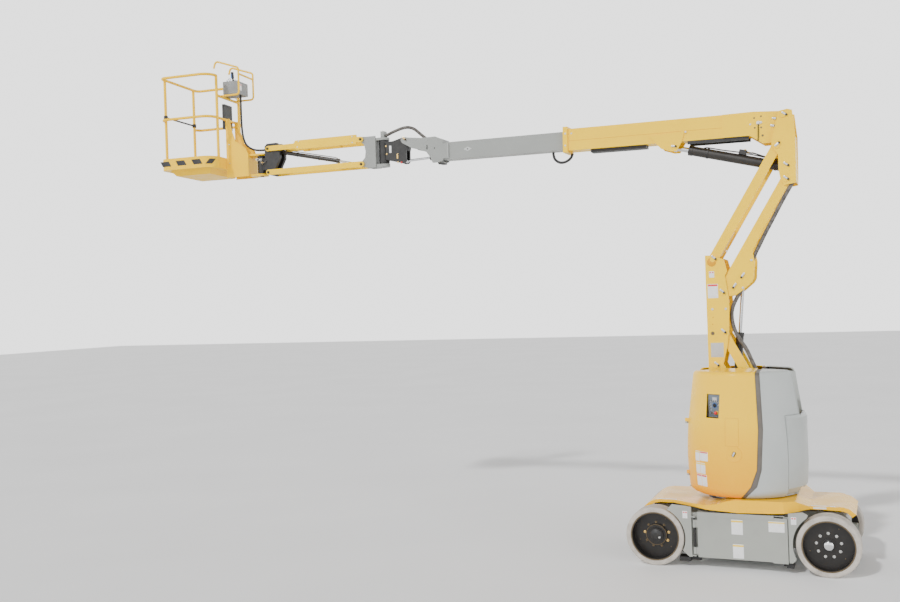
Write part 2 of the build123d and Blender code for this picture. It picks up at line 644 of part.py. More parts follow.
def column():
    """Upright at the top of the arms: holds the boom pivot and the foot of the boom cylinder."""
    web = block(606, 616, -PLATE_Y[0], PLATE_Y[0], 3830, 4290)
    solid = plates_with_pins(COLUMN_OUTLINE, web, (COLUMN_PIN_REAR, BOOM_PIVOT), (COLUMN_PIN_FRONT,))
    solid += cyl_y(BOOM_CYL_FOOT, LINK_PIN_R, -PLATE_Y[1], PLATE_Y[1])
    return solid + both(cyl_y(BOOM_CYL_FOOT, 34, 40, PLATE_Y[0] + 1))


def arm_hoses():
    """Sheathed hose bundle from the turret cheek, past the arm cylinder and up behind the rear link."""
    inside_rails = -(RAIL_Y[0] - ARM_HOSE_R - PIN_GAP)
    at_column = -(PLATE_Y[0] - ARM_HOSE_R - PIN_GAP)
    at_cheek = -(CHEEK_Y[0] - ARM_HOSE_R - PIN_GAP)
    top = [(588, at_column, 3826), (532, -122, 3736), (470, -118, 3630), (385, -111, 3475), (310, -102, 3345)]
    middle = [(241, 3211), (197, 3130), (168, 3050), (137, 2930), (80, 2812), (16, 2713), (-43, 2604), (-62, 2500),
              (-38, 2360), (22, 2243), (75, 2165), (123, 2045)]
    low = [(165, -100, 1945), (222, -128, 1840), (270, -152, 1745), (304, at_cheek, 1640)]
    return hose(top + [(x, inside_rails, z) for x, z in middle] + low, ARM_HOSE_R)


# ---------------------------------------------------------------- cylinders
CYLINDERS = {
    # name: barrel length, barrel radius, rod radius, foot radius, eye radius, foot half width, eye half width,
    #       radius of the pin at the foot, how far the rod goes in, how far it comes out
    "arm_cylinder": (628.0, 38.5, 18.0, 36.0, 33.0, 40.0, 40.0, 19.7, 540.0, 30.0),
    "boom_cylinder": (999.0, 50.0, 27.0, 46.0, 38.0, 37.0, 41.0, 20.0, 10.0, 436.0),
    "jib_cylinder": (912.0, 25.0, 13.0, 26.0, 24.0, 31.0, 31.0, 14.0, 260.0, 285.0),
    "levelling_cylinder": (500.0, 29.0, 14.0, 27.0, 24.0, 34.0, 31.0, 15.0, 236.0, 12.0),
}


def cylinder_pair(name, foot, eye):
    """Barrel and rod of a hydraulic cylinder, in XZ at Y = 0.

    The barrel turns on the pin at the foot. The rod ends in its eye, a thick disc that lies between two ears.
    The bore is just long enough for the whole stroke.
    """
    length, barrel_r, rod_r, foot_r, eye_r, foot_half, eye_half, pin_r, goes_in, comes_out = CYLINDERS[name]
    reach = math.dist(foot, eye)
    ux, uz = (eye[0] - foot[0]) / reach, (eye[1] - foot[1]) / reach

    def at(s):
        return (foot[0] + ux * s, 0, foot[1] + uz * s)

    gland, piston, slack, collar, wall = 40.0, 18.0, 4.0, 4.0, barrel_r * 0.22
    bore_end = length - 10.0
    rod_start = bore_end - comes_out - piston - slack
    bore_start = max(pin_r + 6.0, rod_start - goes_in - slack)
    print(name, "rod starts at", round(rod_start, 1), "room when in", round(rod_start - goes_in - bore_start, 1))
    barrel = rod(at(foot_r), at(length), barrel_r)
    barrel += rod(at(0), at(foot_r + 1), min(foot_half, barrel_r) - 3.0)
    barrel += rod(at(length - gland), at(length), barrel_r + collar)
    barrel += cyl_y(foot, foot_r, -foot_half, foot_half)
    barrel -= rod(at(bore_start), at(bore_end), barrel_r - wall)
    barrel -= rod(at(bore_end - 1), at(length + 1), rod_r + PIN_GAP)
    barrel -= cyl_y(foot, pin_r + PIN_GAP, -foot_half - 1, foot_half + 1)
    stem = rod(at(rod_start), at(reach), rod_r) + rod(at(rod_start), at(rod_start + piston), barrel_r - wall - 1)
    return barrel, stem + cyl_y(eye, eye_r, -eye_half, eye_half)


# ---------------------------------------------------------------- boom, drawn level and then tilted
def on_boom(solid):
    """Put what is drawn with the pivot at (0, 0) and the boom level onto the machine."""
    return Pos(BOOM_PIVOT[0], 0, BOOM_PIVOT[1]) * Rot(0, BOOM_TILT, 0) * solid


def boom_point(u, w):
    """Machine (x, z) of a point drawn on the level boom."""
    a = math.radians(BOOM_TILT)
    return (BOOM_PIVOT[0] + u * math.cos(a) + w * math.sin(a), BOOM_PIVOT[1] - u * math.sin(a) + w * math.cos(a))


def boom_local(x, z):
    """Level-boom (u, w) of a machine point."""
    a = math.radians(BOOM_TILT)
    dx, dz = x - BOOM_PIVOT[0], z - BOOM_PIVOT[1]
    return (dx * math.cos(a) - dz * math.sin(a), dx * math.sin(a) + dz * math.cos(a))


TAIL_OUTLINE = [(-600, 62), (-286, 66), (-46, 50), (30, 40), (52, 0), (30, -42), (-60, -110), (-120, -262),
                (-200, -264), (-330, -176), (-600, -176)]
LUG_OUTLINE = [(-1366, -94), (-1235, -237), (-1130, -272), (-1070, -272), (-1014, -174), (-985, -70)]


def outer_boom():
    """Outer box section with its collar, tail plates and the lugs of the boom cylinder."""
    u0, u1 = OUTER_U
    w0, w1 = OUTER_W
    box = block(u0, u1, -OUTER_HALF, OUTER_HALF, w0, w1)
    box -= block(u0 - 1, u1 - 80, -OUTER_HALF + OUTER_WALL, OUTER_HALF - OUTER_WALL, w0 + OUTER_WALL, w1 - OUTER_WALL)
    # the barrel of the boom cylinder lies in this gap when the boom is up
    box -= block(u1 - 290, u1 + 1, -CYLINDER_ROOM, CYLINDER_ROOM, w0 - 1, w0 + OUTER_WALL + 1)
    box -= block(u1 - 81, u1 + 1, -CYLINDER_ROOM, CYLINDER_ROOM, w0 - 1, w0 + 52)
    collar = block(u0 - 8, u0 + 44, -OUTER_HALF - 22, OUTER_HALF + 22, w0 - 22, w1 + 24)
    collar -= block(u0 - 9, u0 + 45, -OUTER_HALF + 2, OUTER_HALF - 2, w0 + 2, w1 - 2)
    solid = box + collar
    for y0, y1, v0, v1 in ((INNER_HALF, OUTER_HALF - OUTER_WALL, -120, 0), (-60, 60, w0 + OUTER_WALL, INNER_W[0]),
                           (-60, 60, INNER_W[1], w1 - OUTER_WALL)):
        # wear pads that the inner section slides on
        if y0 > 0:
            solid += both(block(u0 + 2, u0 + 82, y0 + PIN_GAP, y1 + 1, v0, v1))
        else:
            low = v0 - 1 if v1 < 0 else v0 + PIN_GAP
            high = v1 - PIN_GAP if v1 < 0 else v1 + 1
            solid += block(u0 + 2, u0 + 82, y0, y1, low, high)
    solid += both(plate(TAIL_OUTLINE, OUTER_HALF, OUTER_HALF + 14))
    solid += cyl_y((0, 0), 46, -OUTER_HALF - 14, OUTER_HALF + 14)
    solid += both(plate(LUG_OUTLINE, OUTER_HALF, OUTER_HALF + 12))
    solid += ear_bosses(BOOM_CYL_EYE, 34.0, 44.0, OUTER_HALF + 1)
    solid -= cyl_y((0, 0), LINK_PIN_R + PIN_GAP, -200, 200)
    return on_boom(solid)


def hose_tray():
    """Trays under the outer boom that carry the hoses; the rear one is split so that the cylinder passes between."""
    w = OUTER_W[0]
    tray = block(-2010, -1400, -TRAY_HALF, TRAY_HALF, w - TRAY_DEPTH, w)
    tray += both(block(-960, -340, CYLINDER_ROOM, OUTER_HALF - 4, w - TRAY_DEPTH, w))
    return on_boom(tray)


def inner_boom():
    """Sliding inner box section."""
    u0, u1 = INNER_U
    w0, w1 = INNER_W
    box = block(u0, u1, -INNER_HALF, INNER_HALF, w0, w1)
    box -= block(u0 - 1, u1 + 1, -INNER_HALF + INNER_WALL, INNER_HALF - INNER_WALL, w0 + INNER_WALL, w1 - INNER_WALL)
    foot = boom_local(*LEVEL_CYL_FOOT)
    box += cyl_y(foot, 15.0, -INNER_HALF + 2, INNER_HALF - 2)
    # plate behind the open end, which the tip hose goes through
    box += block(u0 + TIP_PLATE, u0 + TIP_PLATE + 6, -INNER_HALF + INNER_WALL - 1, INNER_HALF - INNER_WALL + 1,
                 TIP_HOSE_W - TIP_HOSE_R - 4, w1 - INNER_WALL + 1)
    return on_boom(box)


TIP_PLATE = 60.0
TIP_HOSE_W = INNER_W[1] - INNER_WALL - TIP_HOSE_R - 3.0


def tip_hose():
    """Hose bundle from the boom tip over the knuckle to the clamp on the jib head."""
    end = boom_point(INNER_U[0] + TIP_PLATE - PIN_GAP, TIP_HOSE_W)
    before = boom_point(INNER_U[0] + TIP_PLATE - 100, TIP_HOSE_W)
    start_x = TIP_CLAMP_X[1] + 6.5
    return hose([(start_x, 0, 4776), (-3850, 0, 4846), (-3680, 0, 4850), (-3545, 0, 4724), (-3405, 0, 4614),
                 (before[0], 0, before[1]), (end[0], 0, end[1])], TIP_HOSE_R)


GOOSENECK_Y = (80.0, 94.0)
LEVEL_CYL_FOOT = (-2950.0, 4472.0)
LEVEL_CYL_EYE = (-3772.0, 4449.0)


def gooseneck():
    """Side plates at the tip of the inner boom that reach up and over to the levelled knuckle."""
    local = boom_local(*KNUCKLE_PIVOT)
    outline = [(-3766, 75), (-3865, 115), (-4040, 112), (-4212, 131), (local[0] - 22, local[1] + 34),
               (local[0] - 40, local[1]), (local[0] - 22, local[1] - 34), (-4160, -1), (-4070, -22), (-3977, -59),
               (-3925, -130), (-3900, -190), (-3840, -190), (-3766, -173)]
    solid = both(plate(outline, *GOOSENECK_Y))
    solid += block(-3786, -3766, -GOOSENECK_Y[0], GOOSENECK_Y[0], 38, 75)
    solid += block(-3840, -3790, -GOOSENECK_Y[0], GOOSENECK_Y[0], -190, -176)
    solid += cyl_y(local, 17.0, -GOOSENECK_Y[1], GOOSENECK_Y[1])
    solid += both(block(-3786, -3700, INNER_HALF, GOOSENECK_Y[1], -150, 25))
    # lightening slot and the lifting hole beside it
    solid -= bar((-3967, -22), (-3967, 14), 22.0, -GOOSENECK_Y[1] - 1, GOOSENECK_Y[1] + 1)
    solid -= cyl_y((-3873, -21), 9.0, -GOOSENECK_Y[1] - 1, GOOSENECK_Y[1] + 1)
    return on_boom(solid)


# ---------------------------------------------------------------- jib
def knuckle_bracket():
    """Black levelled bracket that carries the upright swing actuator of the jib."""
    outline = [(-4010, 4690), (-3915, 4692), (-3790, 4722), (-3735, 4722), (-3714, 4687), (-3720, 4640), (-3740, 4560),
               (-3742, 4449), (-3760, 4420), (-3800, 4418), (-3900, 4450), (-4010, 4478)]
    solid = plate(outline, -62, 62, 8.0)
    solid -= cyl_y(KNUCKLE_PIVOT, 17.0 + PIN_GAP, -70, 70)
    solid -= block(-3850, -3690, -38, 38, 4370, 4565)
    solid += cyl_z(SWING_X, 0, 62.0, 4446, 4714)
    solid += cyl_z(SWING_X, 0, 24.0, 4405, 4756)
    return solid


HEAD_TOP = (4722.0, 4752.0)
HEAD_LOW = (4402.0, 4436.0)
TIP_CLAMP_X = (-4085.0, -4040.0)


def jib_head():
    """Grey fork that swings about the upright actuator and carries the jib pins."""
    back = -4140.0
    solid = cyl_z(SWING_X, 0, 66.0, *HEAD_TOP) + cyl_z(SWING_X, 0, 66.0, *HEAD_LOW)
    solid += block(-4250, SWING_X, -66, 66, *HEAD_TOP) + block(-4250, SWING_X, -66, 66, *HEAD_LOW)
    solid += block(-4250, back, -66, 66, HEAD_LOW[0], HEAD_TOP[1])
    cheek = [(-4140, 4400), (-4250, 4402), (-4327, 4420), (-4360, 4453), (-4327, 4486), (-4285, 4530), (-4275, 4600),
             (-4290, 4680), (-4328, 4714), (-4362, 4748), (-4328, 4782), (-4252, 4777), (-4140, 4776)]
    solid += both(plate(cheek, 62, 78))
    for pin in (JIB_UR, JIB_LR):
        solid += both(cyl_y(pin, 14.0, 62, JIB_RAIL_Y[1] + 8))
    solid -= cyl_z(SWING_X, 0, 24.0 + PIN_GAP, 4390, 4790)
    # bridge over the actuator that clamps the end of the tip hose
    solid += block(*TIP_CLAMP_X, -40, 40, HEAD_TOP[1] + 6, HEAD_TOP[1] + 73)
    solid += both(block(*TIP_CLAMP_X, 27, 40, HEAD_TOP[1] - 2, HEAD_TOP[1] + 8))
    # notch that the rod's eye swings through when the jib is down
    solid -= block(-4260, -4165, -40, 40, 4380, 4448)
    return solid + both(cyl_y(JIB_LR, 26, 34, 63))


def jib_upper_link():
    """Upper bar pair of the jib, deeper over most of its length."""
    p, q = JIB_UR, JIB_UL
    solid = both(bar(p, q, 64.0, *JIB_RAIL_Y))
    deep = [(-5265, 4729), (-5240, 4714), (-4385, 4702), (-4385, 4812), (-5250, 4826), (-5275, 4793)]
    solid += both(plate(deep, *JIB_RAIL_Y))
    solid += cyl_y(((p[0] * 0.7 + q[0] * 0.3), (p[1] * 0.7 + q[1] * 0.3) + 30), 16, -JIB_RAIL_Y[1], JIB_RAIL_Y[1])
    solid += cyl_y(((p[0] * 0.35 + q[0] * 0.65), (p[1] * 0.35 + q[1] * 0.65) + 30), 16, -JIB_RAIL_Y[1], JIB_RAIL_Y[1])
    for pin in (p, q):
        solid -= cyl_y(pin, 14.0 + PIN_GAP, -200, 200)
    return solid


def jib_lower_link():
    """Lower bar pair of the jib; the cylinder folds down between the bars, so nothing joins them but the pins."""
    p, q = JIB_LR, JIB_LL
    solid = both(bar(p, q, 68.0, *JIB_RAIL_Y))
    for pin in (p, q):
        solid -= cyl_y(pin, 14.0 + PIN_GAP, -200, 200)
    return solid


ACTUATOR_Z = (4472.0, 4690.0)


def jib_block():
    """Black levelled block at the end of the jib, with the upright actuator that turns the cage."""
    outline = [(BLOCK_X, 4510), (-5690, 4440), (-5640, 4432), (-5600, 4460), (-5500, 4640), (-5500, 4760),
               (-5540, 4832), (-5690, 4832), (BLOCK_X, 4800)]
    solid = plate(outline, -78, 78, 6.0)
    solid -= block(-5640, -5490, -36, 36, 4420, 4840)
    solid += block(ROTATOR_X, BLOCK_X + 22, -42, 42, 4510, 4660)
    solid += cyl_z(ROTATOR_X, 0, 56.0, *ACTUATOR_Z)
    solid += cyl_z(ROTATOR_X, 0, 24.0, ACTUATOR_Z[0] - 38, ACTUATOR_Z[1] + 38)
    for pin in (JIB_UL, JIB_LL):
        solid += both(cyl_y(pin, 14.0, 70, JIB_RAIL_Y[1] + 8))
    solid += cyl_y(JIB_CYL_FOOT, 14.0, -60, 60)
    return solid


# ---------------------------------------------------------------- cage, drawn about its own middle
def on_cage(solid):
    """Put what is drawn about the middle of the cage floor onto the machine."""
    place = Pos(ROTATOR_X, 0, 0) * Rot(0, 0, CAGE_YAW) * Pos(CAGE_MID_X - ROTATOR_X, 0, 0)
    return place * solid


CORNER_GATE, CORNER_REAR = 90.0, 170.0
CONTROL_BOX_Z = (5500.0, 5660.0)


def cage_plan(inset):
    """Plan outline of the cage, its gate-side corners tighter than the rear ones."""
    half_x, half_y = CAGE_DEPTH / 2 - inset, CAGE_WIDTH / 2 - inset
    face = Rectangle(2 * half_x, 2 * half_y)
    by_x = face.vertices().sort_by(Axis.X)
    face = fillet(by_x[:2], CORNER_GATE - inset)
    return fillet(face.vertices().sort_by(Axis.X)[-4:].filter_by(lambda v: abs(v.X - half_x) < 1), CORNER_REAR - inset)


def cage_floor():
    """Floor tray with its toe board and the shallow stiffening box under it."""
    sheet = CAGE_SHEET
    wall = Pos(0, 0, CAGE_FLOOR_Z) * extrude(cage_plan(0.0), amount=TOE_HEIGHT)
    wall -= Pos(0, 0, CAGE_FLOOR_Z + sheet) * extrude(cage_plan(sheet), amount=TOE_HEIGHT)
    half_x, half_y, depth = CAGE_DEPTH / 2 - 90, CAGE_WIDTH / 2 - 90, 62.0
    under = loft([Pos(0, 0, CAGE_FLOOR_Z) * Rectangle(2 * half_x, 2 * half_y),
                  Pos(0, 0, CAGE_FLOOR_Z - depth) * Rectangle(2 * half_x - 90, 2 * half_y - 120)])
    hollow = loft([Pos(0, 0, CAGE_FLOOR_Z - sheet) * Rectangle(2 * half_x - 10, 2 * half_y - 10),
                   Pos(0, 0, CAGE_FLOOR_Z - depth + sheet) * Rectangle(2 * half_x - 98, 2 * half_y - 128)])
    return on_cage(wall + under - hollow)


POSTS = [("near gate", -1, -1), ("far gate", -1, 1), ("near rear", 1, -1), ("far rear", 1, 1)]
POST_INSET = 24.0
GATE_BAR_Z = MID_RAIL_Z + 50.0
REAR_POST_Y = 270.0
GATE_POST_Y = 330.0


def post_place(way_x, way_y):
    """Plan position of a cage post."""
    x = way_x * (CAGE_DEPTH / 2 - POST_INSET)
    return (x, way_y * (REAR_POST_Y if way_x > 0 else GATE_POST_Y))


def ring_rail(z, r):
    """A tube right round the cage at one height, bent to the plan of its floor."""
    half_x, half_y = CAGE_DEPTH / 2 - POST_INSET, CAGE_WIDTH / 2 - POST_INSET
    g, b = CORNER_GATE - 20, CORNER_REAR - 20
    s = math.sqrt(0.5)
    path = Wire([Line((0, -half_y, z), (half_x - b, -half_y, z)),
                 ThreePointArc((half_x - b, -half_y, z), (half_x - b + b * s, -half_y + b - b * s, z),
                               (half_x, -half_y + b, z)),
                 Line((half_x, -half_y + b, z), (half_x, half_y - b, z)),
                 ThreePointArc((half_x, half_y - b, z), (half_x - b + b * s, half_y - b + b * s, z),
                               (half_x - b, half_y, z)),
                 Line((half_x - b, half_y, z), (-half_x + g, half_y, z)),
                 ThreePointArc((-half_x + g, half_y, z), (-half_x + g - g * s, half_y - g + g * s, z),
                               (-half_x, half_y - g, z)),
                 Line((-half_x, half_y - g, z), (-half_x, -half_y + g, z)),
                 ThreePointArc((-half_x, -half_y + g, z), (-half_x + g - g * s, -half_y + g - g * s, z),
                               (-half_x + g, -half_y, z)),
                 Line((-half_x + g, -half_y, z), (0, -half_y, z))])
    return sweep(Plane(origin=(0, -half_y, z), z_dir=(1, 0, 0)) * Circle(r), path=path)


def cage_rails():
    """Posts, top rail and mid rail of the cage."""
    top = ring_rail(TOP_RAIL_Z, RAIL_R)
    low_rear = TOP_RAIL_Z - 250
    rear_x = CAGE_DEPTH / 2 - POST_INSET
    # the top rail drops to a lower bar behind the control box
    top -= block(rear_x - 60, rear_x + 60, -REAR_POST_Y, REAR_POST_Y, TOP_RAIL_Z - 30, TOP_RAIL_Z + 30)
    mid = ring_rail(MID_RAIL_Z, RAIL_R)
    # the gateway is left open at mid height
    gate_x = -CAGE_DEPTH / 2 + POST_INSET
    mid -= block(gate_x - 60, gate_x + 60, -GATE_POST_Y, GATE_POST_Y, MID_RAIL_Z - 30, MID_RAIL_Z + 30)
    solid = top + mid
    for name, way_x, way_y in POSTS:
        x, y = post_place(way_x, way_y)
        solid += cyl_z(x, y, RAIL_R + 1, CAGE_FLOOR_Z + CAGE_SHEET, TOP_RAIL_Z)
    solid += rod((rear_x, -REAR_POST_Y, low_rear), (rear_x, REAR_POST_Y, low_rear), RAIL_R)
    return on_cage(solid)


def gate_bar():
    """Sliding bar across the gateway, with a sleeve round each gate post."""
    x = -CAGE_DEPTH / 2 + POST_INSET
    z = GATE_BAR_Z
    solid = rod((x, -GATE_POST_Y, z), (x, GATE_POST_Y, z), 11.0)
    for side in (-1, 1):
        solid += cyl_z(x, side * GATE_POST_Y, RAIL_R + 9, z - 22, z + 22)
    for side in (-1, 1):
        solid -= cyl_z(x, side * GATE_POST_Y, RAIL_R + 1 + PIN_GAP, z - 30, z + 30)
    return on_cage(solid)


def cage_support():
    """Yellow gusset plates and the pair of lugs that clasp the rotator."""
    disc_r = 84.0
    z_low = (4440.0, ACTUATOR_Z[0] - 8)
    z_high = (ACTUATOR_Z[1] + 8, 4722.0)
    axis_x = ROTATOR_X - CAGE_MID_X
    wall_x = axis_x - 130
    solid = Part()
    for z0, z1 in (z_low, z_high):
        solid += cyl_z(axis_x, 0, disc_r, z0, z1)
        solid += block(wall_x, axis_x, -disc_r, disc_r, z0, z1)
    solid += block(wall_x - 12, wall_x, -120, 120, z_low[0], z_high[1])
    rear = CAGE_DEPTH / 2
    gusset = [(rear + 1, CAGE_FLOOR_Z + TOE_HEIGHT), (rear + 1, z_low[0]), (wall_x, z_low[0]), (wall_x, z_high[1]),
              (wall_x - 30, 4790), (rear + 130, 4900), (rear + 80, 5060), (rear + 60, 5190), (rear + 1, 5190)]
    solid += both(plate(gusset, 108, 120))
    solid -= cyl_z(axis_x, 0, 24.0 + PIN_GAP, 4300, 4800)
    return on_cage(solid)


def control_box():
    """Upper control box on the rear side of the cage, outside the rail."""
    rear_x = CAGE_DEPTH / 2 - POST_INSET
    box = block(rear_x + 24, rear_x + 230, -150, 120, *CONTROL_BOX_Z)
    rail_top = TOP_RAIL_Z - 250 + RAIL_R
    stand = block(rear_x - 15, rear_x + 80, -70, 50, rail_top, CONTROL_BOX_Z[0] + 1)
    return on_cage(box + stand)


def control_guard():
    """Bent tube guard round the control box, its two hoops standing on the lower rear rail."""
    rear_x = CAGE_DEPTH / 2 - POST_INSET
    low, high = TOP_RAIL_Z - 250, TOP_RAIL_Z + 200
    out, r = rear_x + 280, 12.0
    solid = Part()
    for y in (-200.0, 170.0):
        solid += tube([(rear_x + RAIL_R, y, low), (out, y, low), (out, y, high - 110), (rear_x - 40, y, high),
                       (rear_x - 70, y, high - 90)], r, 40.0)
    solid += rod((out, -200 + r, high - 190), (out, 170 - r, high - 190), r)
    return on_cage(solid)


def cage_cable():
    """Black cable bundle from under the control box down to the block at the end of the jib."""
    a = math.radians(CAGE_YAW)
    rear_x = CAGE_DEPTH / 2 - POST_INSET
    out, across = CAGE_MID_X - ROTATOR_X + rear_x + 204, -26
    start = (ROTATOR_X + out * math.cos(a) - across * math.sin(a), out * math.sin(a) + across * math.cos(a),
             CONTROL_BOX_Z[0] - PIN_GAP)
    below = (start[0], start[1], start[2] - 110)
    return hose([start, below, (-6080, -50, 5250), (-6078, -48, 5100), (-6068, -46, 4975), (-6035, -42, 4868),
                 (-5962, -34, 4800), (-5850, -22, 4766), (BLOCK_X - PIN_GAP, -22, 4766)], CABLE_R)


def document_box():
    """Black document box on the rear rail."""
    rear_x = CAGE_DEPTH / 2 - POST_INSET
    return on_cage(block(rear_x - 52, rear_x - RAIL_R, -60, 130, 5080, 5400))


# ---------------------------------------------------------------- assembly
CYLINDER_ENDS = {
    "arm_cylinder": (ARM_CYL_FOOT, ARM_CYL_EYE),
    "boom_cylinder": (BOOM_CYL_FOOT, boom_point(*BOOM_CYL_EYE)),
    "jib_cylinder": (JIB_CYL_FOOT, JIB_LR),
    "levelling_cylinder": (LEVEL_CYL_FOOT, LEVEL_CYL_EYE),
}


def build():
    """Every node by name."""
    nodes = {}
    for end, x, dish, hub in (("drive", DRIVE_X, DRIVE_DISH, DRIVE_HUB), ("steer", STEER_X, STEER_DISH, STEER_HUB)):
        for name, side in (("left", -1), ("right", 1)):
            nodes[f"tyre_{end}_{name}"] = tyre(x, side)
            nodes[f"rim_{end}_{name}"] = rim(x, side, dish, hub)
    nodes["knuckle_left"] = knuckle(-1)
    nodes["knuckle_right"] = knuckle(1)
    nodes["tie_rod"] = tie_rod()
    nodes["chassis_frame"] = chassis_frame()
    nodes["slew_ring"] = slew_ring()
    nodes["batteries"] = batteries()
    nodes["pothole_guards"] = pothole_guards()
    nodes["hinge_rods"] = hinge_rods()
    nodes["side_door_right"] = side_door()
    nodes["side_door_left"] = other_side(side_door())
    nodes["deck_cover"] = deck_cover()
    nodes["turret_frame"] = turret_frame()
    nodes["counterweight"] = counterweight()
    nodes["front_cover_left"] = front_cover_left()
    nodes["front_cover_right"] = front_cover_right()
    nodes["rear_cover_left"] = rear_cover(-1)
    nodes["rear_cover_right"] = rear_cover(1)
    nodes["seam_bands"] = seam_bands()
    nodes["ground_controls"] = ground_controls()
    nodes["lower_link_high"] = lower_link_high()
    nodes["lower_link_low"] = lower_link_low()
    nodes["mast"] = mast()
    nodes["upper_link_rear"] = upper_link_rear()
    nodes["upper_link_front"] = upper_link_front()
    nodes["column"] = column()
    nodes["arm_hoses"] = arm_hoses()
    nodes["outer_boom"] = outer_boom()
    nodes["hose_tray"] = hose_tray()
    nodes["inner_boom"] = inner_boom()
    nodes["gooseneck"] = gooseneck()
    nodes["tip_hose"] = tip_hose()
    nodes["knuckle_bracket"] = knuckle_bracket()
    nodes["jib_head"] = jib_head()
    nodes["jib_upper_link"] = jib_upper_link()
    nodes["jib_lower_link"] = jib_lower_link()
    nodes["jib_block"] = jib_block()
    for name, (foot, eye) in CYLINDER_ENDS.items():
        nodes[f"{name}_barrel"], nodes[f"{name}_rod"] = cylinder_pair(name, foot, eye)
    nodes["cage_floor"] = cage_floor()
    nodes["cage_rails"] = cage_rails()
    nodes["gate_bar"] = gate_bar()
    nodes["cage_support"] = cage_support()
    nodes["control_box"] = control_box()
    nodes["control_guard"] = control_guard()
    nodes["document_box"] = document_box()
    nodes["cage_cable"] = cage_cable()
    return nodes


NODES = build()
boxes = [node.bounding_box() for node in NODES.values()]
SHIFT_X = -(min(b.min.X for b in boxes) + max(b.max.X for b in boxes)) / 2
for node_name, node in NODES.items():
    export_step(Pos(SHIFT_X, 0, 0) * node, f"parts/{node_name}.step")
print("shift along X", round(SHIFT_X, 3), "nodes", len(NODES))
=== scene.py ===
"""Dressing of the articulating boom lift: finishes for its solids, and the trim that they carry."""

import math

import bmesh
import bpy
import numpy as np
from mathutils import Matrix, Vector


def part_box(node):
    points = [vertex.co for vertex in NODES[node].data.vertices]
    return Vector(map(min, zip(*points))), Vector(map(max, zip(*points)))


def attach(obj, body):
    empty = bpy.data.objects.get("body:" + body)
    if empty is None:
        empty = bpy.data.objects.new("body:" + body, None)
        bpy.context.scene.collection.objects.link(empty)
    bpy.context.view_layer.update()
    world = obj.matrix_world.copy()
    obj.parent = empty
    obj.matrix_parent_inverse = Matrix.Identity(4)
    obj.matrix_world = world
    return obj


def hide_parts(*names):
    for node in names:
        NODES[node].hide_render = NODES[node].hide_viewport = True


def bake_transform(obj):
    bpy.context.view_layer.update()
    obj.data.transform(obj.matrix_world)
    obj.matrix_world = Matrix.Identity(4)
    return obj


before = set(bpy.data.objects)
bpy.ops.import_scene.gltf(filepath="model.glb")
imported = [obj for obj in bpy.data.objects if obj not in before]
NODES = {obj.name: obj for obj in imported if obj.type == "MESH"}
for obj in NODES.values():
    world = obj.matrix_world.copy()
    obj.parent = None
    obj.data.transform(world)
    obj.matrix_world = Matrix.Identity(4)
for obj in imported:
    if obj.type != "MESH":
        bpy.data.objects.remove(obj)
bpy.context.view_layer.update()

# the slew axis stands this far in front of the middle of the machine
SLEW_X = (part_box("slew_ring")[0].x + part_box("slew_ring")[1].x) / 2


# ------------------------------------------------------------------ finishes
def new_material(name):
    """An empty material with its output and principled shader."""
    material = bpy.data.materials.new(name)
    material.use_nodes = True
    tree = material.node_tree
    return material, tree, tree.nodes["Principled BSDF"]


def object_noise(tree, scale, detail=3.0, roughness=0.55):
    """Noise on object coordinates."""
    coords = tree.nodes.new("ShaderNodeTexCoord")
    noise = tree.nodes.new("ShaderNodeTexNoise")
    noise.inputs["Scale"].default_value = scale
    noise.inputs["Detail"].default_value = detail
    noise.inputs["Roughness"].default_value = roughness
    tree.links.new(coords.outputs["Object"], noise.inputs["Vector"])
    return noise.outputs["Fac"]


def ramp(tree, value, stops):
    """Colour ramp through (position, colour) stops."""
    node = tree.nodes.new("ShaderNodeValToRGB")
    while len(node.color_ramp.elements) < len(stops):
        node.color_ramp.elements.new(0.5)
    for element, (position, colour) in zip(node.color_ramp.elements, stops):
        element.position = position
        element.color = (*colour, 1.0)
    tree.links.new(value, node.inputs["Fac"])
    return node.outputs["Color"]


def spread(tree, value, low, high):
    """Carries 0..1 onto low..high."""
    node = tree.nodes.new("ShaderNodeMapRange")
    node.inputs["From Min"].default_value = 0.3
    node.inputs["From Max"].default_value = 0.7
    node.inputs["To Min"].default_value = low
    node.inputs["To Max"].default_value = high
    tree.links.new(value, node.inputs["Value"])
    return node.outputs["Result"]


def relief(tree, shader, height, distance, strength=1.0):
    """Bumps the surface with a height field, distance in metres."""
    bump = tree.nodes.new("ShaderNodeBump")
    bump.inputs["Distance"].default_value = distance
    bump.inputs["Strength"].default_value = strength
    tree.links.new(height, bump.inputs["Height"])
    tree.links.new(bump.outputs["Normal"], shader.inputs["Normal"])


def tinted(colour, factor):
    """The same colour, lighter or darker."""
    return tuple(min(1.0, c * factor) for c in colour)


def sprayed_paint(name, colour, rough=(0.28, 0.42), coat=0.05, peel=0.00025, dust=0.05):
    """Sprayed enamel: a little mottling, fine orange peel, dust lying in cloudy patches."""
    material, tree, shader = new_material(name)
    mottle = object_noise(tree, 3.1, 4.0)
    dusty, clean = tinted(colour, 1.0 - dust), tinted(colour, 1.0 + dust * 0.6)
    tone = ramp(tree, mottle, [(0.32, dusty), (0.52, colour), (0.75, clean)])
    tree.links.new(tone, shader.inputs["Base Color"])
    tree.links.new(spread(tree, object_noise(tree, 9.0, 5.0), *rough), shader.inputs["Roughness"])
    relief(tree, shader, object_noise(tree, 240.0, 1.0), peel, 0.35)
    shader.inputs["Specular IOR Level"].default_value = 0.18
    shader.inputs["Coat Weight"].default_value = coat
    shader.inputs["Coat Roughness"].default_value = 0.12
    return material


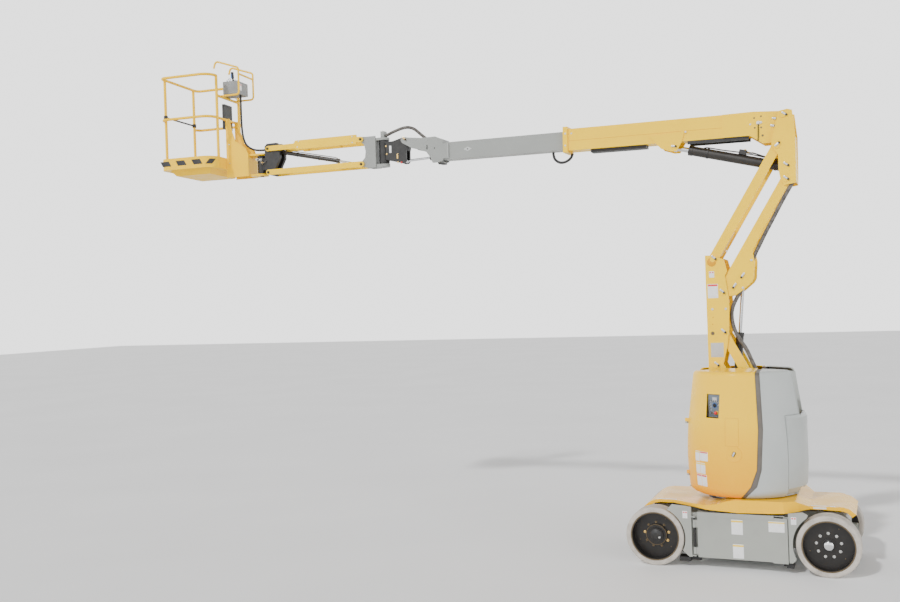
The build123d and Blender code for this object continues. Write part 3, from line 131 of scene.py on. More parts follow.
def moulded_shell(name, shaded_foot, light):
    """Moulded cover in through-coloured plastic with long soft waves; its colour deepens towards the foot as
    painted shade.
    """
    material, tree, shader = new_material(name)
    coords = tree.nodes.new("ShaderNodeTexCoord")
    split = tree.nodes.new("ShaderNodeSeparateXYZ")
    tree.links.new(coords.outputs["Object"], split.inputs["Vector"])
    # painted shade: the colour runs from the lit tone high up to the deeper one at the foot, its edge
    # wandering with noise
    height = tree.nodes.new("ShaderNodeMapRange")
    height.inputs["From Min"].default_value = 0.55
    height.inputs["From Max"].default_value = 2.0
    tree.links.new(split.outputs["Z"], height.inputs["Value"])
    wander = tree.nodes.new("ShaderNodeMath")
    wander.operation = "MULTIPLY_ADD"
    wander.inputs[1].default_value = 0.25
    tree.links.new(object_noise(tree, 2.2, 3.0), wander.inputs[0])
    tree.links.new(height.outputs["Result"], wander.inputs[2])
    colour = ramp(tree, wander.outputs["Value"], [(0.08, shaded_foot), (0.75, light), (1.0, light)])
    tree.links.new(colour, shader.inputs["Base Color"])
    tree.links.new(spread(tree, object_noise(tree, 5.0, 4.0), 0.22, 0.36), shader.inputs["Roughness"])
    relief(tree, shader, object_noise(tree, 6.0, 2.0), 0.004, 0.25)
    shader.inputs["Specular IOR Level"].default_value = 0.18
    shader.inputs["Coat Weight"].default_value = 0.08
    shader.inputs["Coat Roughness"].default_value = 0.1
    return material


def tyre_rubber(name, colour):
    """Pale non-marking rubber: blotched and scuffed grey in patches, with a fine grain."""
    material, tree, shader = new_material(name)
    blotch = object_noise(tree, 11.0, 6.0, 0.65)
    scuff = ramp(tree, blotch, [(0.3, tinted(colour, 0.72)), (0.5, colour), (0.72, tinted(colour, 1.12))])
    tree.links.new(scuff, shader.inputs["Base Color"])
    tree.links.new(spread(tree, object_noise(tree, 30.0, 4.0), 0.62, 0.85), shader.inputs["Roughness"])
    relief(tree, shader, object_noise(tree, 180.0, 5.0, 0.7), 0.0008, 0.6)
    return material


def dark_enamel(name, colour, rough=(0.35, 0.55), bloom=0.01):
    """Black enamel over castings and tubes, greyed a little by dust."""
    material, tree, shader = new_material(name)
    dusty = tuple(c + bloom * d for c, d in zip(colour, (1.0, 0.85, 0.75)))
    tone = ramp(tree, object_noise(tree, 14.0, 6.0, 0.6), [(0.38, colour), (0.68, dusty)])
    tree.links.new(tone, shader.inputs["Base Color"])
    tree.links.new(spread(tree, object_noise(tree, 22.0, 4.0), *rough), shader.inputs["Roughness"])
    relief(tree, shader, object_noise(tree, 90.0, 3.0), 0.0006, 0.4)
    return material


def bright_metal(name, colour, rough, metallic=1.0):
    """Plated or chromed steel, faintly clouded."""
    material, tree, shader = new_material(name)
    cloud = object_noise(tree, 60.0, 5.0, 0.6)
    tone = ramp(tree, cloud, [(0.3, tinted(colour, 0.8)), (0.7, colour)])
    tree.links.new(tone, shader.inputs["Base Color"])
    tree.links.new(spread(tree, cloud, *rough), shader.inputs["Roughness"])
    shader.inputs["Metallic"].default_value = metallic
    return material


def grained_plastic(name, colour, rough=(0.45, 0.6)):
    """Textured black or coloured plastic."""
    material, tree, shader = new_material(name)
    mottle = object_noise(tree, 7.0, 4.0)
    tone = ramp(tree, mottle, [(0.35, tinted(colour, 0.85)), (0.7, tinted(colour, 1.15))])
    tree.links.new(tone, shader.inputs["Base Color"])
    tree.links.new(spread(tree, object_noise(tree, 35.0, 3.0), *rough), shader.inputs["Roughness"])
    relief(tree, shader, object_noise(tree, 420.0, 2.0), 0.0005, 0.5)
    return material


def hose_sheath(name, colour, light, pitch=0.009):
    """Woven sleeve: fine wavy rings across the run over a blotchy, dusty ground."""
    material, tree, shader = new_material(name)
    ground = object_noise(tree, 26.0, 5.0, 0.6)
    tree.links.new(ramp(tree, ground, [(0.32, colour), (0.68, light)]), shader.inputs["Base Color"])
    tree.links.new(spread(tree, ground, 0.55, 0.8), shader.inputs["Roughness"])
    coords = tree.nodes.new("ShaderNodeTexCoord")
    rings = tree.nodes.new("ShaderNodeTexWave")
    rings.wave_type, rings.bands_direction = "BANDS", "DIAGONAL"
    rings.inputs["Scale"].default_value = 0.35 / pitch
    rings.inputs["Distortion"].default_value = 1.4
    tree.links.new(coords.outputs["Object"], rings.inputs["Vector"])
    relief(tree, shader, rings.outputs["Fac"], 0.0012, 0.6)
    return material


def printed(name, paper, ink, bars):
    """Blank enamelled label; each bar (u0, u1, v0, v1) of the label's square is plain ink."""
    material, tree, shader = new_material(name)
    square = tree.nodes.new("ShaderNodeUVMap")
    square.uv_map = "label"
    split = tree.nodes.new("ShaderNodeSeparateXYZ")
    tree.links.new(square.outputs["UV"], split.inputs["Vector"])
    inked = None
    for u0, u1, v0, v1 in bars:
        held = None
        for output, low, high in (("X", u0, u1), ("Y", v0, v1)):
            within = tree.nodes.new("ShaderNodeMath")
            within.operation = "COMPARE"
            within.inputs[1].default_value = (low + high) / 2
            within.inputs[2].default_value = (high - low) / 2
            tree.links.new(split.outputs[output], within.inputs[0])
            fits = within.outputs["Value"]
            held = fits if held is None else joined(tree, "MULTIPLY", held, fits)
        inked = held if inked is None else joined(tree, "MAXIMUM", inked, held)
    ground = ramp(tree, object_noise(tree, 35.0, 4.0), [(0.3, tinted(paper, 0.9)), (0.7, paper)])
    if inked is None:
        tree.links.new(ground, shader.inputs["Base Color"])
    else:
        mix = tree.nodes.new("ShaderNodeMix")
        mix.data_type = "RGBA"
        mix.inputs[7].default_value = (*ink, 1.0)
        tree.links.new(inked, mix.inputs[0])
        tree.links.new(ground, mix.inputs[6])
        tree.links.new(mix.outputs[2], shader.inputs["Base Color"])
    tree.links.new(spread(tree, object_noise(tree, 50.0, 3.0), 0.28, 0.42), shader.inputs["Roughness"])
    return material


def joined(tree, operation, first, second):
    """One value from two."""
    node = tree.nodes.new("ShaderNodeMath")
    node.operation = operation
    tree.links.new(first, node.inputs[0])
    tree.links.new(second, node.inputs[1])
    return node.outputs["Value"]


YELLOW = (1.0, 0.63, 0.0)
WHITE, RED, AMBER = (0.84, 0.84, 0.84), (0.68, 0.012, 0.02), (0.86, 0.60, 0.02)
FINISH = {
    "boom_yellow": sprayed_paint("boom_yellow", YELLOW, dust=0.04, coat=0.06),
    "cage_yellow": sprayed_paint("cage_yellow", (1.0, 0.60, 0.0), dust=0.06, coat=0.06),
    # the first colour of each cover is the painted shade towards its foot
    "hood_yellow": moulded_shell("hood_yellow", (0.90, 0.33, 0.0), (1.0, 0.60, 0.0)),
    "deck_yellow": moulded_shell("deck_yellow", (0.95, 0.50, 0.0), (1.0, 0.64, 0.0)),
    # line_orange is yellow darkened as in shade; on the small mast holes, the outer boom crease and beside
    # the top mast pin it is painted shade
    "line_orange": sprayed_paint("line_orange", (0.72, 0.33, 0.0)),
    "chassis_grey": sprayed_paint("chassis_grey", (0.33, 0.34, 0.31), dust=0.07, coat=0.06),
    "turret_grey": sprayed_paint("turret_grey", (0.44, 0.465, 0.455), dust=0.04, coat=0.08,
                                 rough=(0.35, 0.5)),
    "boom_grey": sprayed_paint("boom_grey", (0.29, 0.30, 0.285), coat=0.08),
    "edge_grey": sprayed_paint("edge_grey", (0.50, 0.51, 0.50)),
    "casting_grey": sprayed_paint("casting_grey", (0.44, 0.465, 0.455), peel=0.0008),
    "tyre_beige": tyre_rubber("tyre_beige", (0.47, 0.43, 0.38)),
    "rim_black": dark_enamel("rim_black", (0.006, 0.0045, 0.0035), rough=(0.3, 0.42), bloom=0.005),
    "enamel_black": dark_enamel("enamel_black", (0.009, 0.009, 0.009), bloom=0.012),
    "cylinder_black": dark_enamel("cylinder_black", (0.016, 0.014, 0.012), rough=(0.28, 0.4)),
    "chrome": bright_metal("chrome", (0.78, 0.79, 0.8), (0.06, 0.14)),
    "zinc": bright_metal("zinc", (0.70, 0.70, 0.68), (0.22, 0.36)),
    "dull_bolt": bright_metal("dull_bolt", (0.16, 0.12, 0.07), (0.35, 0.5), metallic=0.7),
    "brass_plate": bright_metal("brass_plate", (0.85, 0.58, 0.2), (0.2, 0.32)),
    "black_plastic": grained_plastic("black_plastic", (0.014, 0.014, 0.014)),
    "grey_plastic": grained_plastic("grey_plastic", (0.24, 0.25, 0.25)),
    "panel_blue": grained_plastic("panel_blue", (0.13, 0.16, 0.20)),
    "red_plastic": grained_plastic("red_plastic", (0.62, 0.012, 0.012), rough=(0.25, 0.4)),
    "blue_plastic": grained_plastic("blue_plastic", (0.02, 0.11, 0.36), rough=(0.25, 0.4)),
    "amber_plastic": grained_plastic("amber_plastic", (0.85, 0.55, 0.02), rough=(0.25, 0.4)),
    "seam_rubber": grained_plastic("seam_rubber", (0.13, 0.115, 0.10), rough=(0.5, 0.65)),
    "hose_grey": hose_sheath("hose_grey", (0.045, 0.038, 0.033), (0.16, 0.145, 0.13)),
    "hose_black": hose_sheath("hose_black", (0.008, 0.008, 0.008), (0.03, 0.03, 0.03), pitch=0.012),
    "label_yellow": printed("label_yellow", WHITE, AMBER, [(0.0, 1.0, 0.83, 0.95)]),
    "label_red": printed("label_red", WHITE, RED, [(0.04, 0.96, 0.84, 0.97)]),
    "label_marks": printed("label_marks", WHITE, RED, [(0.1, 0.42, 0.72, 0.9), (0.58, 0.9, 0.72, 0.9)]),
    "label_plain": printed("label_plain", WHITE, RED, []),
    "label_grey": printed("label_grey", (0.50, 0.49, 0.47), RED, []),
}

NODE_FINISH = {
    "tyre_beige": ["tyre_drive_left", "tyre_drive_right", "tyre_steer_left", "tyre_steer_right"],
    "rim_black": ["rim_drive_left", "rim_drive_right", "rim_steer_left", "rim_steer_right"],
    "chassis_grey": ["chassis_frame", "side_door_left", "side_door_right"],
    "enamel_black": ["knuckle_left", "knuckle_right", "tie_rod", "slew_ring", "hinge_rods",
                     "knuckle_bracket", "jib_block", "gate_bar"],
    "cylinder_black": ["arm_cylinder_barrel", "boom_cylinder_barrel", "jib_cylinder_barrel",
                       "levelling_cylinder_barrel"],
    "black_plastic": ["batteries", "pothole_guards", "hose_tray", "document_box"],
    "hood_yellow": ["front_cover_left", "front_cover_right"],
    "deck_yellow": ["deck_cover"],
    "turret_grey": ["turret_frame", "rear_cover_left", "rear_cover_right"],
    "casting_grey": ["counterweight"],
    "seam_rubber": ["seam_bands"],
    "hose_grey": ["arm_hoses", "tip_hose"],
    "hose_black": ["cage_cable"],
    "grey_plastic": ["ground_controls", "control_box"],
    "boom_yellow": ["lower_link_high", "lower_link_low", "mast", "upper_link_rear", "upper_link_front",
                    "column", "outer_boom", "jib_upper_link", "jib_lower_link"],
    "cage_yellow": ["cage_floor", "cage_rails", "control_guard", "cage_support"],
    "boom_grey": ["inner_boom", "gooseneck", "jib_head"],
    "chrome": ["arm_cylinder_rod", "boom_cylinder_rod", "jib_cylinder_rod", "levelling_cylinder_rod"],
}
for finish, names in NODE_FINISH.items():
    for node_name in names:
        mesh = NODES[node_name].data
        mesh.materials.clear()
        mesh.materials.append(FINISH[finish])


# ------------------------------------------------------------------ places and directions
NEAR, FAR = np.array([0.0, -1.0, 0.0]), np.array([0.0, 1.0, 0.0])
UP, AHEAD = np.array([0.0, 0.0, 1.0]), np.array([1.0, 0.0, 0.0])
BOOM_PIVOT_X, BOOM_PIVOT_Z, BOOM_TILT = 0.518, 4.504, math.radians(1.0)
BOOM_BACK = np.array([math.cos(BOOM_TILT), 0.0, -math.sin(BOOM_TILT)])
BOOM_UP = np.cross(BOOM_BACK, FAR)
ROTATOR_X, CAGE_MIDDLE, CAGE_YAW = -5.82, 0.82, math.radians(6.0)
HOOD_MIDDLE = np.array([SLEW_X + 0.03, 0.0, 0.0])


def machine(x, y, z):
    """A place given from the slew axis, in the frame."""
    return np.array([x + SLEW_X, y, z])


def on_near(points, face):
    """Places on a near face from their (x, z)."""
    return np.array([machine(x, -face, z) for x, z in points])


def on_boom(u, y, w):
    """A place given along (u) and above (w) the line of the boom, from its pivot."""
    x = BOOM_PIVOT_X + u * math.cos(BOOM_TILT) + w * math.sin(BOOM_TILT)
    z = BOOM_PIVOT_Z - u * math.sin(BOOM_TILT) + w * math.cos(BOOM_TILT)
    return machine(x, y, z)


def boom_side(points, half):
    """Places on the near face of the boom from their (u, w)."""
    return np.array([on_boom(u, -half, w) for u, w in points])


def on_cage(x, y, z):
    """A place given from the middle of the cage, which stands turned about its rotator."""
    out = x - CAGE_MIDDLE
    ahead = out * math.cos(CAGE_YAW) - y * math.sin(CAGE_YAW)
    aside = out * math.sin(CAGE_YAW) + y * math.cos(CAGE_YAW)
    return machine(ROTATOR_X + ahead, aside, z)


def cage_way(x, y, z):
    """A direction in the cage."""
    return on_cage(x, y, z) - on_cage(0.0, 0.0, 0.0)


def unit(vectors):
    """Vectors of length 1."""
    vectors = np.asarray(vectors, float)
    return vectors / np.linalg.norm(vectors, axis=-1, keepdims=True)


# ------------------------------------------------------------------ surfaces
def quads(rows, columns, close_rows=False, close_columns=False):
    """Faces of a grid of rows x columns points, closed either way if asked."""
    i = np.arange(rows if close_rows else rows - 1)[:, None]
    j = np.arange(columns if close_columns else columns - 1)[None, :]
    k, m = (i + 1) % rows, (j + 1) % columns
    corners = (i * columns + j, i * columns + m, k * columns + m, k * columns + j)
    return np.stack(np.broadcast_arrays(*corners), -1).reshape(-1, 4)


def turned(profile, places, axis, sides=32, start=0.0, closed=False):
    """Turned forms, one at each place: P(s, t) = place + h(s) a + r(s) (u cos t + v sin t), u x v = a."""
    profile, places = np.asarray(profile, float), np.atleast_2d(places)
    a = unit(axis)
    u = unit(np.cross(a, (0.36, 0.48, 0.8)))
    t = start + np.arange(sides) * 2 * math.pi / sides
    ring = np.cos(t)[:, None] * u + np.sin(t)[:, None] * np.cross(a, u)
    grid = profile[:, 1, None, None] * a + profile[:, 0, None, None] * ring
    count = len(profile) * sides
    faces = quads(len(profile), sides, closed, True)[None] + np.arange(len(places))[:, None, None] * count
    return (places[:, None, None, :] + grid[None]).reshape(-1, 3), faces.reshape(-1, 4)


def swept(route, radius, lean, sides=12, steps=10):
    """Tube P(s, t) = C(s) + r (N cos t + B sin t), C the Catmull-Rom line of the route, N = lean x C'."""
    route = np.asarray(route, float)
    held = np.vstack([2 * route[0] - route[1], route, 2 * route[-1] - route[-2]])
    t = (np.arange(steps) / steps)[None, :, None]
    p0, p1, p2, p3 = (held[i:len(route) - 1 + i, None, :] for i in range(4))
    line = 2 * p1 + (p2 - p0) * t + (2 * p0 - 5 * p1 + 4 * p2 - p3) * t ** 2
    line = 0.5 * (line + (3 * p1 - p0 - 3 * p2 + p3) * t ** 3)
    line = np.vstack([line.reshape(-1, 3), route[-1]])
    along = unit(np.gradient(line, axis=0))
    n = unit(np.cross(np.broadcast_to(lean, along.shape), along))
    turn = (np.arange(sides) * 2 * math.pi / sides)[None, :, None]
    ring = n[:, None] * np.cos(turn) + np.cross(along, n)[:, None] * np.sin(turn)
    ends = np.broadcast_to(line[[0, -1], None, :], (2, sides, 3))
    grid = np.concatenate([ends[:1], line[:, None] + radius * ring, ends[1:]])
    return grid.reshape(-1, 3), quads(len(line) + 2, sides, False, True)


def rounded(width, height, radius, n=5):
    """Outline of a rectangle with round corners, counter-clockwise."""
    t = (np.arange(4)[:, None] * math.pi / 2 + np.linspace(0, math.pi / 2, n)[None, :]).ravel()
    way = np.repeat(np.array([(1, 1), (-1, 1), (-1, -1), (1, -1)], float), n, axis=0)
    middle = way * (width / 2 - radius, height / 2 - radius)
    return middle + radius * np.stack([np.cos(t), np.sin(t)], 1)


def slab(outline, place, across, up, depth, bevel=0.0012):
    """Bevelled plates: P(s, t) = place + (a, b) . (c + k(s) (q(t) - c)) + h(s) a x b, q(t) the outline."""
    outline, places = np.asarray(outline, float), np.atleast_2d(place)
    middle = outline.mean(axis=0)
    shrink = 1 - bevel / np.abs(outline - middle).max(axis=0).min()
    scale = np.array([0.0, 1.0, 1.0, shrink, 0.0])[:, None, None]
    height = np.array([0.0, 0.0, depth - bevel, depth, depth])[:, None, None]
    flat = middle + scale * (outline - middle)
    a, b = unit(across), unit(up)
    grid = flat[..., :1] * a + flat[..., 1:] * b + height * np.cross(a, b)
    count = 5 * len(outline)
    faces = quads(5, len(outline), False, True)[None] + np.arange(len(places))[:, None, None] * count
    return (places[:, None, None, :] + grid[None]).reshape(-1, 3), faces.reshape(-1, 4)


EDGE_WIDTH = 0.012
EDGE = np.array([0.0, EDGE_WIDTH, 0.25, 0.5, 0.75, 1.0 - EDGE_WIDTH, 1.0])
LABEL_U, LABEL_V = np.meshgrid(EDGE, EDGE)
LABEL_FACES = quads(len(EDGE), len(EDGE))
LABEL_SQUARE = np.stack([LABEL_U, LABEL_V], -1).reshape(-1, 2)
# f(u) f(v) is 0 round the edge of a label and 1 inside it
LABEL_RISE = np.prod([np.minimum(1, np.minimum(w, 1 - w) / EDGE_WIDTH) for w in (LABEL_U, LABEL_V)], axis=0)


def label(place, across, up, width, height, lift=0.0006):
    """Label with its edge turned down.

    P(u, v) = place + W (u - 1/2) a + H (v - 1/2) b + f(u) f(v) lift a x b.
    """
    a, b = unit(across), unit(up)
    grid = place + width * (LABEL_U - 0.5)[..., None] * a + height * (LABEL_V - 0.5)[..., None] * b
    grid = grid + lift * LABEL_RISE[..., None] * np.cross(a, b)
    return grid.reshape(-1, 3), LABEL_FACES, LABEL_SQUARE


def near_label(x0, x1, z0, z1, face):
    """Label on a face that looks to the near side."""
    return label(machine((x0 + x1) / 2, -face, (z0 + z1) / 2), AHEAD, UP, x1 - x0, z1 - z0)


# (radius, height): the belly of the covers is round through these, and tapers straight above the last
BELLY = ((0.588, 0.8), (0.6, 1.1), (0.574, 1.5))
TAPER = (0.522 - 0.574) / 0.413


def hood_radius(z):
    """Radius of the covers at a height: a circle through the belly's places, then a straight taper."""
    (r0, z0), (r1, z1), (r2, z2) = BELLY
    system = np.array([[r1 - r0, z1 - z0], [r2 - r1, z2 - z1]])
    right = np.array([r1 ** 2 - r0 ** 2 + z1 ** 2 - z0 ** 2, r2 ** 2 - r1 ** 2 + z2 ** 2 - z1 ** 2]) / 2
    rc, zc = np.linalg.solve(system, right)
    big = math.hypot(r0 - rc, z0 - zc)
    belly = rc + np.sqrt(np.maximum(big ** 2 - (z - zc) ** 2, 0))
    return np.where(z > z2, r2 + TAPER * (z - z2), belly)


def on_hood(azimuth, z, lift):
    """P(a, z) = centre + (r(z) + lift) (cos a, sin a), on the outside of the covers."""
    azimuth, z, lift = np.broadcast_arrays(np.radians(azimuth), z, lift)
    r = hood_radius(z) + lift
    return HOOD_MIDDLE + np.stack([r * np.cos(azimuth), r * np.sin(azimuth), z], -1)


def hood_label(low_azimuth, high_azimuth, low, high, lift=0.0009):
    """Label bent round the covers, with its edge turned down."""
    azimuth = low_azimuth + (high_azimuth - low_azimuth) * LABEL_U
    grid = on_hood(azimuth, low + (high - low) * LABEL_V, lift * LABEL_RISE)
    return grid.reshape(-1, 3), LABEL_FACES, LABEL_SQUARE


def hex_bolts(places, axis, size, height):
    """Hexagon heads on round washers."""
    washer = [(0.0, 0.0), (size * 1.25, 0.0), (size * 1.25, size * 0.16), (size * 0.9, size * 0.2)]
    head = [(size, size * 0.15), (size, height * 0.86), (size * 0.86, height), (0.0, height)]
    return [turned(washer, places, axis, 20), turned(head, places, axis, 6, 0.3)]


def dome(radius, height, n=7):
    """Profile of a round cap, from its rim to its middle."""
    t = np.linspace(0, math.pi / 2, n)
    return [(0.0, 0.0)] + list(zip(radius * np.cos(t), height * np.sin(t)))


def spot(radius):
    """Profile of the thin disc that lies in a hole or over one; its dark colour is painted shade of the
    hollow.
    """
    return [(0.0, 0.0), (radius, 0.0), (radius, 0.0005), (0.0, 0.0006)]


def piece(name, shapes, finish, body, crease=38.0):
    """One object from several shapes, smooth up to the crease angle, riding on a body."""
    starts = np.cumsum([0] + [len(shape[0]) for shape in shapes[:-1]])
    points = np.vstack([shape[0] for shape in shapes])
    faces = np.vstack([shape[1] + start for shape, start in zip(shapes, starts)])
    mesh = bpy.data.meshes.new(name)
    mesh.from_pydata(points.tolist(), [], faces.tolist())
    if len(shapes[0]) == 3:
        square = np.vstack([shape[2] for shape in shapes])
        corner = np.empty(len(mesh.loops), dtype=np.int32)
        mesh.loops.foreach_get("vertex_index", corner)
        mesh.uv_layers.new(name="label").data.foreach_set("uv", square[corner].astype(np.float32).ravel())
    else:
        work = bmesh.new()
        work.from_mesh(mesh)
        bmesh.ops.remove_doubles(work, verts=work.verts, dist=2e-6)
        work.to_mesh(mesh)
        work.free()
    mesh.shade_smooth()
    mesh.set_sharp_from_angle(angle=math.radians(crease))
    mesh.materials.append(FINISH[finish])
    obj = bpy.data.objects.new(name, mesh)
    bpy.context.scene.collection.objects.link(obj)
    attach(obj, body)
    return obj


def bolts(name, places, axis, size, height, finish, body):
    """A piece of bolt heads on their washers."""
    piece(name, hex_bolts(places, axis, size, height), finish, body)


def turning(name, profile, places, axis, sides, finish, body, crease=38.0, closed=False):
    """A piece turned from one profile at each place."""
    return piece(name, [turned(profile, places, axis, sides, closed=closed)], finish, body, crease)


def plate(name, outline, places, across, up, depth, finish, body, bevel=0.0012):
    """A piece of bevelled plates of one outline."""
    piece(name, [slab(outline, places, across, up, depth, bevel)], finish, body)


def pipe(name, route, radius, lean, finish, body, sides=12, steps=10):
    """A piece that is one bent tube."""
    piece(name, [swept(route, radius, lean, sides, steps)], finish, body)


# ------------------------------------------------------------------ wheels
AXLE_X = {"drive": -0.825, "steer": 0.825}
AXLE_Z, TYRE_Y, LIP_Y, WHEEL_FACE_Y = 0.2945, 0.505, 0.595, 0.600
# depth of the dish and radius of the bolt circle
DISH = {"drive": (0.110, 0.123), "steer": (0.080, 0.114)}
TYRE_WALL = [(0.2443, 0.0880), (0.2468, 0.0915), (0.2490, 0.0935), (0.2515, 0.0948), (0.2540, 0.0948),
             (0.2560, 0.0932), (0.2580, 0.0922), (0.2605, 0.0932), (0.2630, 0.0948), (0.2670, 0.0950),
             (0.2720, 0.0946), (0.2765, 0.0942)]
TYRE_TREAD = [(0.2945, 0.040), (0.2932, 0.0385), (0.2905, 0.0375), (0.2905, 0.0325), (0.2932, 0.0315),
              (0.2945, 0.030)]
RIM_LIP = [(0.2335, -0.0010), (0.2440, -0.0010), (0.2440, 0.0012), (0.2425, 0.0024), (0.2350, 0.0024),
           (0.2335, 0.0012)]
REDUCER_EDGE = [(0.0995, 0.0), (0.1062, 0.0), (0.1062, 0.0035), (0.1045, 0.0052), (0.1005, 0.0052),
                (0.0995, 0.004)]
REDUCER_CAP = [(0.0, 0.0), (0.058, 0.0), (0.058, 0.003), (0.055, 0.0055), (0.040, 0.006), (0.036, 0.009),
               (0.018, 0.0105), (0.0, 0.011)]
HUB_DOME = [(0.0, 0.0), (0.0492, 0.0), (0.0492, 0.020), (0.0480, 0.0245), (0.0440, 0.0300), (0.0370, 0.0345),
            (0.0280, 0.0375), (0.0150, 0.0392), (0.0, 0.0397)]


def tyre_profile():
    """Half section of the tyre, mirrored: ridges on each wall, a round shoulder, grooves in the tread."""
    wall_radius, shoulder_radius, shoulder_y = TYRE_WALL[-1][0], 0.018, 0.0762
    t = np.linspace(0, math.pi / 2, 7)[1:]
    shoulder = [(wall_radius + shoulder_radius * math.sin(a), shoulder_y + shoulder_radius * math.cos(a))
                for a in t]
    half = TYRE_WALL + shoulder + TYRE_TREAD
    return [(r, -h) for r, h in half] + [(r, h) for r, h in reversed(half)]


def around(middle, radius, degrees):
    """Places on a circle that faces sideways."""
    t = np.radians(degrees)
    return middle + radius * np.stack([np.cos(t), 0 * t, np.sin(t)], 1)


def dress_wheel(end, side_name, side):
    """Tyre in place of the plain one, wheel bolts and the middle of the wheel."""
    body, x, out = f"wheel_{end}_{side_name}", AXLE_X[end], NEAR * -side
    tyre = turning(f"{body}_tyre", tyre_profile(), machine(x, side * TYRE_Y, AXLE_Z), FAR, 96, "tyre_beige",
                   body, 50.0, closed=True)
    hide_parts(f"tyre_{end}_{side_name}")
    dish, circle = DISH[end]
    face = side * (WHEEL_FACE_Y - dish)
    middle = machine(x, face, AXLE_Z)
    ring = around(middle, circle, 12.0 + 40.0 * np.arange(9))
    turning(f"{body}_lip", RIM_LIP, machine(x, side * LIP_Y, AXLE_Z), out, 80, "dull_bolt", body,
            closed=True)
    plugs = around(middle, 0.185, np.array([60.0, 200.0, 320.0]))
    turning(f"{body}_plugs", dome(0.006, 0.003), plugs, out, 14, "dull_bolt", body)
    if end == "steer":
        bolts(f"{body}_bolts", ring, out, 0.0112, 0.012, "zinc", body)
        turning(f"{body}_dome", HUB_DOME, machine(x, face + side * 0.008, AXLE_Z), out, 56, "chrome", body)
        return
    bright = np.arange(9) % 4 == 0
    bolts(f"{body}_bolts", ring[~bright], out, 0.0105, 0.011, "dull_bolt", body)
    bolts(f"{body}_bright_bolts", ring[bright], out, 0.0115, 0.012, "brass_plate", body)
    turning(f"{body}_reducer_edge", REDUCER_EDGE, machine(x, face + side * 0.0235, AXLE_Z), out, 64,
            "dull_bolt", body, closed=True)
    small = around(machine(x, face + side * 0.026, AXLE_Z), 0.086, 18.0 + 36.0 * np.arange(10))
    cap = turned(REDUCER_CAP, machine(x, face + side * 0.0438, AXLE_Z), out, 48)
    piece(f"{body}_cap", hex_bolts(small, out, 0.006, 0.006) + [cap], "enamel_black", body)
    plug = machine(x + 0.033, face + side * 0.0485, AXLE_Z - 0.020)
    bolts(f"{body}_plug", plug, out, 0.010, 0.010, "zinc", body)


for wheel_end in ("drive", "steer"):
    dress_wheel(wheel_end, "left", -1)
    dress_wheel(wheel_end, "right", 1)


# ------------------------------------------------------------------ labels, all of them blank
DOOR_FACE, SIDE_PLATE_FACE, MAST_LABEL_FACE, BRACKET_FACE = 0.5962, 0.5992, 0.1602, 0.0622
DECK_LABEL_Y, DECK_TOP, DECK_LABEL_WIDTH = -0.352, 0.6322, 0.034
piece("door_labels", [near_label(-0.065, 0.043, 0.362, 0.507, DOOR_FACE),
                      near_label(0.285, 0.433, 0.407, 0.510, DOOR_FACE),
                      near_label(-0.057, 0.045, 0.129, 0.267, DOOR_FACE)], "label_yellow", "side_door_left")
piece("side_plate_labels", [near_label(-0.538, -0.490, 0.496, 0.569, SIDE_PLATE_FACE),
                            near_label(0.493, 0.543, 0.490, 0.562, SIDE_PLATE_FACE)],
      "label_marks", "chassis")
deck_labels = [label(machine(x, DECK_LABEL_Y, DECK_TOP), AHEAD, FAR, length, DECK_LABEL_WIDTH)
               for x, length in ((-0.735, 0.20), (0.745, 0.16), (0.86, 0.05))]
deck_labels.append(label(machine(0.745, -0.3782, 0.617), AHEAD, UP, 0.12, 0.018))
piece("deck_labels", deck_labels, "label_plain", "chassis")
hood_labels_yellow = [(-139, -132.7, 1.047, 1.150), (-138.6, -132.0, 0.925, 1.034),
                      (-131.6, -125.2, 0.925, 1.034)]
hood_labels_red = [(-132.3, -121.5, 1.056, 1.150), (-138.2, -131.2, 0.800, 0.915),
                   (-130.8, -124.0, 0.800, 0.915)]
piece("hood_labels_yellow", [hood_label(*edges) for edges in hood_labels_yellow], "label_yellow",
      "front_cover_left")
piece("hood_labels_red", [hood_label(*edges) for edges in hood_labels_red], "label_red", "front_cover_left")
for name, (x0, x1, z0, z1), finish in (
        ("mast_marks_label", (-0.262, -0.209, 2.902, 2.966), "label_marks"),
        ("mast_label", (-0.281, -0.176, 2.690, 2.835), "label_red"),
        ("mast_plate", (-0.270, -0.140, 2.080, 2.228), "label_grey")):
    piece(name, [near_label(x0, x1, z0, z1, MAST_LABEL_FACE)], finish, "mast")
piece("bracket_label", [near_label(-3.962, -3.934, 4.555, 4.640, BRACKET_FACE)], "label_plain",
      "knuckle_bracket")
piece("control_box_label", [label(on_cage(0.5862, -0.065, 5.592), cage_way(0, 1, 0), UP, 0.050, 0.085)],
      "label_marks", "cage")


# ------------------------------------------------------------------ covers of the turret
def hood_loop(azimuth, half_azimuth, low, high, radius, lift):
    """Thin bead round a rectangle on the covers, its corners rounded and then stretched with it."""
    corners = rounded(2 * half_azimuth, 2.0, 0.12, 4)
    count = len(corners)
    corners = np.vstack([corners, corners[:1]])
    t = np.linspace(0, count, 10 * count, endpoint=False)
    whole, part = t.astype(int), (t % 1)[:, None]
    path = corners[whole] * (1 - part) + corners[whole + 1] * part
    middle, half = (low + high) / 2, (high - low) / 2
    line = on_hood(azimuth + path[:, 0], middle + half * path[:, 1], lift)
    along = unit(np.roll(line, -1, axis=0) - np.roll(line, 1, axis=0))
    n = unit((line - HOOD_MIDDLE) * (1, 1, 0))
    n = unit(n - (n * along).sum(1, keepdims=True) * along)
    turn = (np.arange(8) * math.pi / 4)[None, :, None]
    grid = line[:, None] + radius * (n[:, None] * np.cos(turn) + np.cross(along, n)[:, None] * np.sin(turn))
    return grid.reshape(-1, 3), quads(len(line), 8, True, True)


